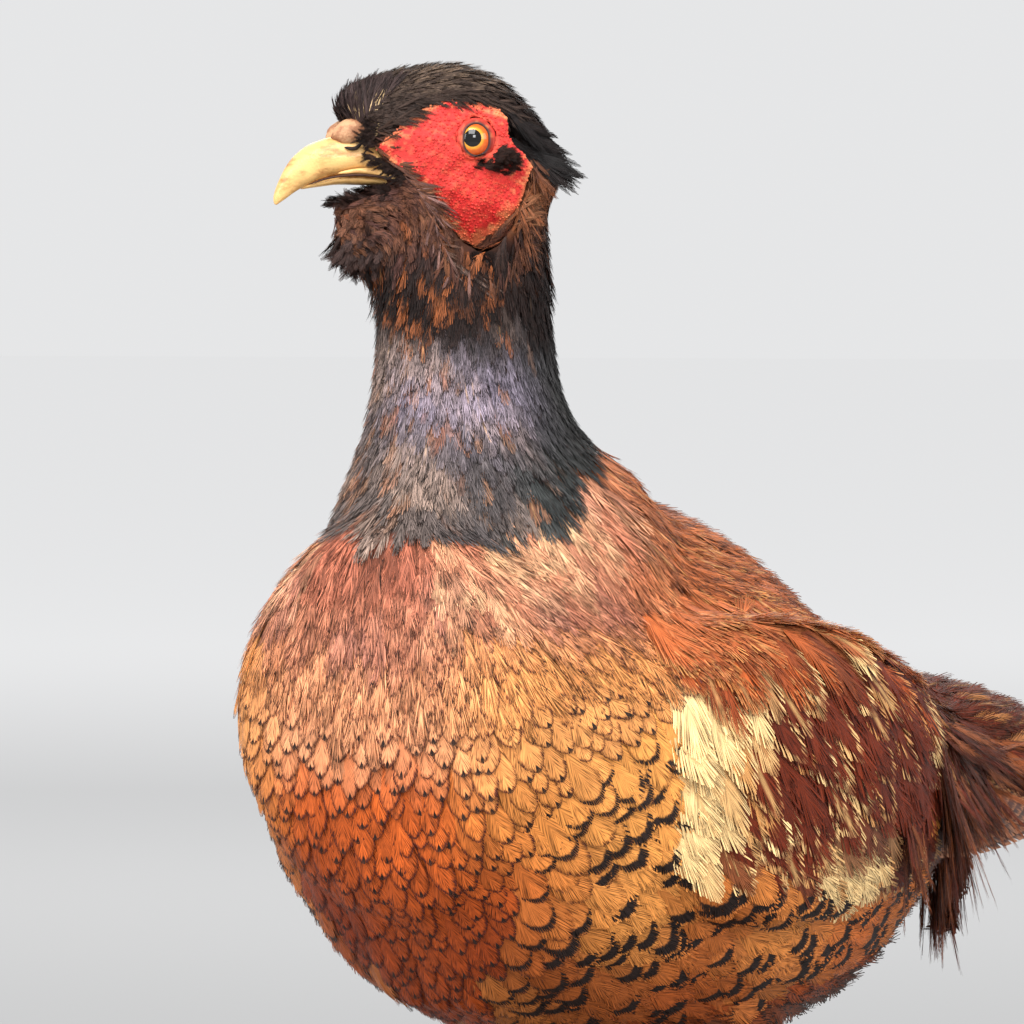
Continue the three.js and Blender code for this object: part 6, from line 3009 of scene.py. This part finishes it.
@dataclass
class Leg:
    """One scaled shank and foot with its claws and spur."""

    hand: Hand
    stance: float
    deck: float = 24.3

    def build(self) -> None:
        """Builds the shank, the toes, the claws and the spur."""
        side, back, word = self.hand.value, -self.stance, self.hand.word
        self.hock = np.array([side * 34, 34 + back * 0.75, 101])
        self.ball = np.array([side * 37, 6 + back, 32.3])
        scale = TwoToneFinish("shank_scales", "leg_scale", first=tint(126, 112, 98), second=tint(92, 78, 68),
                              blotch=160.0, grain=1500.0, bump=0.6)
        horn = TwoToneFinish("claw_keratin", "claw_horn", roughness=0.38, first=tint(74, 58, 48),
                             second=tint(44, 34, 28), blotch=200.0, bump=0.15)
        shank = tube_object(f"shank_{word}_scales", self.shank())
        scale.dress(shank)
        attach(shank, f"shank_{word}")
        toes = []
        for name, angle, length, claw in (("inner", -26, 33, 10), ("middle", 2, 44, 10),
                                          ("outer", 28, 35, 10), ("hind", 172, 15, 6)):
            toe, tip = self.toe(angle * side, length, claw)
            toes.append(tube_object(f"toe_{word}_{name}", toe))
            nail = tube_object(f"claw_{word}_{name}_horn", tip)
            horn.dress(nail)
            attach(nail, f"claw_{word}_{name}")
        toes.append(tube_object(f"ball_{word}", self.knuckle()))
        foot = self.join(toes, f"foot_{word}_scales")
        scale.dress(foot)
        attach(foot, f"foot_{word}")
        spur = tube_object(f"spur_{word}_horn", self.spur(side))
        horn.dress(spur)
        attach(spur, f"spur_{word}")

    @staticmethod
    def join(things: list[bpy.types.Object], name: str) -> bpy.types.Object:
        """Joins objects into one plain mesh.

        Args:
            things: the objects, which are removed.
            name: the new object's name.

        Returns:
            The new object.
        """
        whole = bmesh.new()
        for thing in things:
            whole.from_mesh(thing.data)
            mesh = thing.data
            bpy.data.objects.remove(thing)
            bpy.data.meshes.remove(mesh)
        mesh = bpy.data.meshes.new(name)
        whole.to_mesh(mesh)
        whole.free()
        mesh.shade_smooth()
        return new_object(name, mesh)

    @staticmethod
    def scutes(rings: Array, front: Array, pitch: int, depth: float) -> Array:
        """Raises overlapping plates on a tube, large where it faces front and small behind.

        Args:
            rings: the tube.
            front: the way the large plates face.
            pitch: how many rings one plate covers.
            depth: how far a plate rises, as a share of the tube's size.

        Returns:
            The rings with their plates.
        """
        centre = rings.mean(1, keepdims=True)
        away = rings - centre
        facing = ramp(-0.15, 0.45, unit(away) @ unit(front))
        row, column = np.arange(len(rings))[:, None], np.arange(rings.shape[1])[None]
        plate = (row % pitch) / pitch
        grain = 0.5 + 0.5 * np.cos(2 * np.pi * (row / pitch * 1.5 + column * 0.5))
        rise = depth * facing * (1 - plate) ** 0.6 + depth * 0.4 * (1 - facing) * grain
        return centre + away * (1 + rise)[..., None]

    def shank(self) -> Array:
        """Rings from the hock to the ankle.

        Returns:
            An array of rings of points.
        """
        stations = [
            [*(self.hock * (1 - share) + self.ball * share), wide, over, over]
            for share, wide, over in ((0.0, 4.8, 5.9), (0.18, 4.0, 4.6), (0.6, 3.4, 4.0), (0.93, 4.1, 4.6))
        ]
        rings = sweep_rings(stations, np.array([1.0, 0, 0]), 120, 28, (0.06, 0.04))
        return self.scutes(rings, np.array([0, -1.0, 0.4]), 7, 0.075)

    def toe(self, degrees: float, length: float, claw: float) -> tuple[Array, Array]:
        """Rings of a toe and of its claw.

        Args:
            degrees: how far the toe points aside.
            length: the toe's length.
            claw: the claw's length.

        Returns:
            The rings of both.
        """
        turn = math.radians(degrees)
        ahead = np.array([math.sin(turn), -math.cos(turn), 0])
        across = np.array([math.cos(turn), math.sin(turn), 0])
        r = 3.2

        def at(distance: float, height: float) -> list[float]:
            """A place a distance out from the ball of the foot and a height above the deck."""
            return [*(np.array([self.ball[0], self.ball[1], self.deck + height]) + ahead * distance)]

        stations = []
        pads = max(2, round(length / 11))
        for k in range(4 * pads + 1):
            share = k / (4 * pads)
            size = r * (1 - 0.3 * share**2) * (0.95 + 0.08 * math.cos(2 * math.pi * k / 4))
            height = (r + 2.1) * (1 - share) + r * 0.86 * share - 1.5 * share * (1 - share)
            height = max(height, size * 1.02)
            stations.append([*at(length * share, height), size * 0.97, size, size * 0.98])
        rings = sweep_rings(stations, across, 12 * pads + 24, 20, (0.06, 0.12))
        toe = self.scutes(rings, np.array([0, 0, 1.0]), 4, 0.07)
        nail = sweep_rings([
            [*at(length - 2.2, r * 0.86), 1.5, 1.7, 1.6],
            [*at(length + claw * 0.3, r * 1.0), 1.35, 1.55, 1.4],
            [*at(length + claw * 0.7, r * 0.78), 0.9, 1.0, 0.9],
            [*at(length + claw, r * 0.3), 0.3, 0.35, 0.35],
        ], across, 18, 14, (0.1, 0.05))
        return toe, nail

    def knuckle(self) -> Array:
        """The swollen joint between the shank and the toes.

        Returns:
            An array of rings of points.
        """
        up = (self.hock - self.ball) / np.linalg.norm(self.hock - self.ball)
        start = self.ball + np.array([0, 0, 7.5]) + up * 1.5
        stations = [[*start, 3.9, 4.4, 4.4], [*(self.ball + [0, 0, 2]), 5.2, 5.4, 5.4],
                    [*(self.ball - [0, 1.5, 4.4]), 4.6, 4.6, 4.6]]
        return sweep_rings(stations, np.array([1.0, 0, 0]), 20, 24, (0.3, 0.35))

    def spur(self, side: int) -> Array:
        """The sharp horn on the back of the shank.

        Args:
            side: 1 for the left leg, -1 for the right.

        Returns:
            An array of rings of points.
        """
        root = self.hock * 0.38 + self.ball * 0.62
        stations = [[root[0] - side * x, root[1] + y, root[2] + z, r, r, r] for x, y, z, r in
                    ((0.5, 0.5, 0, 3.0), (2.5, 7.5, -0.5, 2.0), (3.5, 12.9, 1.4, 0.4))]
        return sweep_rings(stations, np.array([1.0, 0, 0]), 20, 16, (0.02, 0.06))


@dataclass
class Plinth:
    """The stained wooden stand with a rounded, stepped edge."""

    length: float = 290.0
    width: float = 200.0
    height: float = 24.0
    corner: float = 26.0
    moulding: float = 7.0
    step: float = 2.2

    def build(self) -> None:
        """Stacks outlines from the foot to the deck."""
        start = self.height - self.moulding
        low, step = start - self.step, self.step
        profile = [(0.8, 0.0), (0.2, 0.2), (0.0, 0.8), (0.0, low - 0.5), (0.15, low - 0.12), (0.5, low),
                   (step - 0.3, low), (step, low + 0.3), (step, start)]
        for angle in np.linspace(0, np.pi / 2, 9)[1:]:
            inset, rise = self.moulding * (1 - math.cos(angle)), self.moulding * math.sin(angle)
            profile.append((step + inset, start + rise))
        profile.append((step + self.moulding + 0.8, self.height))
        board = tube_object("plinth", np.stack([self.outline(inset, z) for inset, z in profile]))
        sharpen(board.data)
        WoodFinish("varnished_wood", "stained_wood").dress(board)
        attach(board, "stand_base")

    def outline(self, inset: float, z: float) -> Array:
        """A rounded rectangle at a height.

        Args:
            inset: how far inside the widest outline.
            z: the height.

        Returns:
            A ring of points.
        """
        ring = []
        x, y = self.width / 2 - inset, self.length / 2 - inset
        r = self.corner - inset
        for k, (cx, cy) in enumerate(((x - r, y - r), (-x + r, y - r), (-x + r, -y + r), (x - r, -y + r))):
            for angle in np.linspace(0, np.pi / 2, 12):
                turn = angle + k * np.pi / 2
                ring.append((cx + r * math.cos(turn), cy + r * math.sin(turn), z))
        return np.array(ring)


def sharpen(mesh: bpy.types.Mesh, limit: float = math.radians(40)) -> None:
    """Keeps edges crisp where faces meet at more than the limit.

    Args:
        mesh: the mesh.
        limit: the angle in radians.
    """
    mesh.shade_smooth()
    shell = bmesh.new()
    shell.from_mesh(mesh)
    for edge in shell.edges:
        edge.smooth = len(edge.link_faces) != 2 or edge.calc_face_angle(0) < limit
    shell.to_mesh(mesh)
    shell.free()


# ---------------------------------------------------------------- stage


@dataclass
class Studio:
    """A pale floor, soft lights all round and the camera."""

    azimuth: float = math.radians(35)
    elevation: float = math.radians(2)
    distance: float = 1400.0
    focal_pixels: float = 5180.0
    picture_pixels: int = 1024
    target: tuple[float, float, float] = (10.4, -56.7, 302.0)
    lit: tuple[float, float, float] = (0.0, 0.0, 240.0)

    def build(self) -> None:
        """Makes the floor, the lights, the world and the camera."""
        self.floor()
        self.lights()
        self.world()
        self.camera()

    def floor(self) -> None:
        """A large pale floor under the plinth."""
        size = 55000.0
        corners = np.array([(-size, -size, 0), (size, -size, 0), (size, size, 0), (-size, size, 0)], float)
        ground = mesh_from_arrays("floor", corners, np.arange(4), np.array([4]))
        ground.data.materials.append(FloorFinish("studio floor", "stained_wood").make())

    def lights(self) -> None:
        """Large soft lamps overhead, in front, to both sides and behind."""
        for name, bearing, height, far, size, power in (
            ("top", self.azimuth - math.radians(12), 1750, 1200, 1000, 34.0),
            ("front", self.azimuth + math.radians(5), 1050, 1800, 440, 11.0),
            ("left", self.azimuth - math.radians(58), 850, 1500, 700, 12.0),
            ("right", self.azimuth + math.radians(56), 900, 1600, 800, 9.0),
            ("back", self.azimuth + math.radians(180), 1300, 1700, 1200, 9.0),
        ):
            lamp = bpy.data.lights.new(name, "AREA")
            lamp.energy, lamp.size, lamp.shape = power, size * MM, "SQUARE"
            place = Vector((math.sin(bearing) * far, -math.cos(bearing) * far, height)) * MM
            self.put(lamp, place, Vector(self.lit) * MM - place)

    @staticmethod
    def put(data: bpy.types.ID, place: Vector, facing: Vector) -> bpy.types.Object:
        """A lamp or camera at a place in metres, turned to face a direction.

        Args:
            data: the lamp or camera.
            place: where it stands.
            facing: the way it looks.

        Returns:
            The linked object.
        """
        holder = new_object(data.name, data)
        holder.location = place
        holder.rotation_mode = "QUATERNION"
        holder.rotation_quaternion = facing.to_track_quat("-Z", "Y")
        return holder

    def world(self) -> None:
        """An even pale surround."""
        surround = bpy.data.worlds.new("surround")
        surround.use_nodes = True
        shade = surround.node_tree.nodes["Background"]
        shade.inputs["Color"].default_value = (0.985, 0.99, 1.0, 1)
        shade.inputs["Strength"].default_value = 0.8
        bpy.context.scene.world = surround
        bpy.context.scene.view_settings.view_transform = "Standard"

    def camera(self) -> None:
        """The camera at the front left of the bird, level with its neck."""
        data = bpy.data.cameras.new("camera")
        data.sensor_width = 36.0
        data.lens = self.focal_pixels / self.picture_pixels * data.sensor_width
        data.clip_start, data.clip_end = 0.05, 120.0
        a, e = self.azimuth, self.elevation
        back = Vector((math.sin(a) * math.cos(e), -math.cos(a) * math.cos(e), math.sin(e)))
        place = (Vector(self.target) + back * self.distance) * MM
        bpy.context.scene.camera = self.put(data, place, -back)


# ---------------------------------------------------------------- assembly


def main() -> None:
    """Builds the hide, the coat and everything else in turn."""
    logging.basicConfig(level=logging.INFO, format="%(message)s")
    Studio().build()
    hide = Hide()
    skin = hide.build()
    plumage = Plumage()
    colours = plumage.colours(hide.points, hide.points, np.random.default_rng(SEED))
    # The skin takes the feathers' colours, darkened as painted shade.
    write_colours(skin.data, "vane", colours["vane"] * [*[HIDE_SHADE] * 3, 1])
    PaintedFinish("hide", "body_feather", roughness=0.85, specular=0.1, blotch=120.0, grain=1400.0,
                  depth=0.5, bump=0.6, relief=0.0004).dress(skin)
    attach(skin, *FLESH)
    Coat(hide, plumage).grow()
    Bill().build()
    cheeks = {hand: surface_of(Wattle(hand).build()) for hand in Hand}
    HeadTufts(hide, cheeks).build()
    for hand in Hand:
        Eye(hand).build()
        EarTuft(hide, hand).build()
        Scapulars(hide, hand).build()
        Fringe(hide, hand).build()
        Quills(hand).build()
    Tail().build()
    for hand in Hand:
        Leg(hand, 14.0 * hand.value).build()
    Plinth().build()


if __name__ == "__main__":
    main()
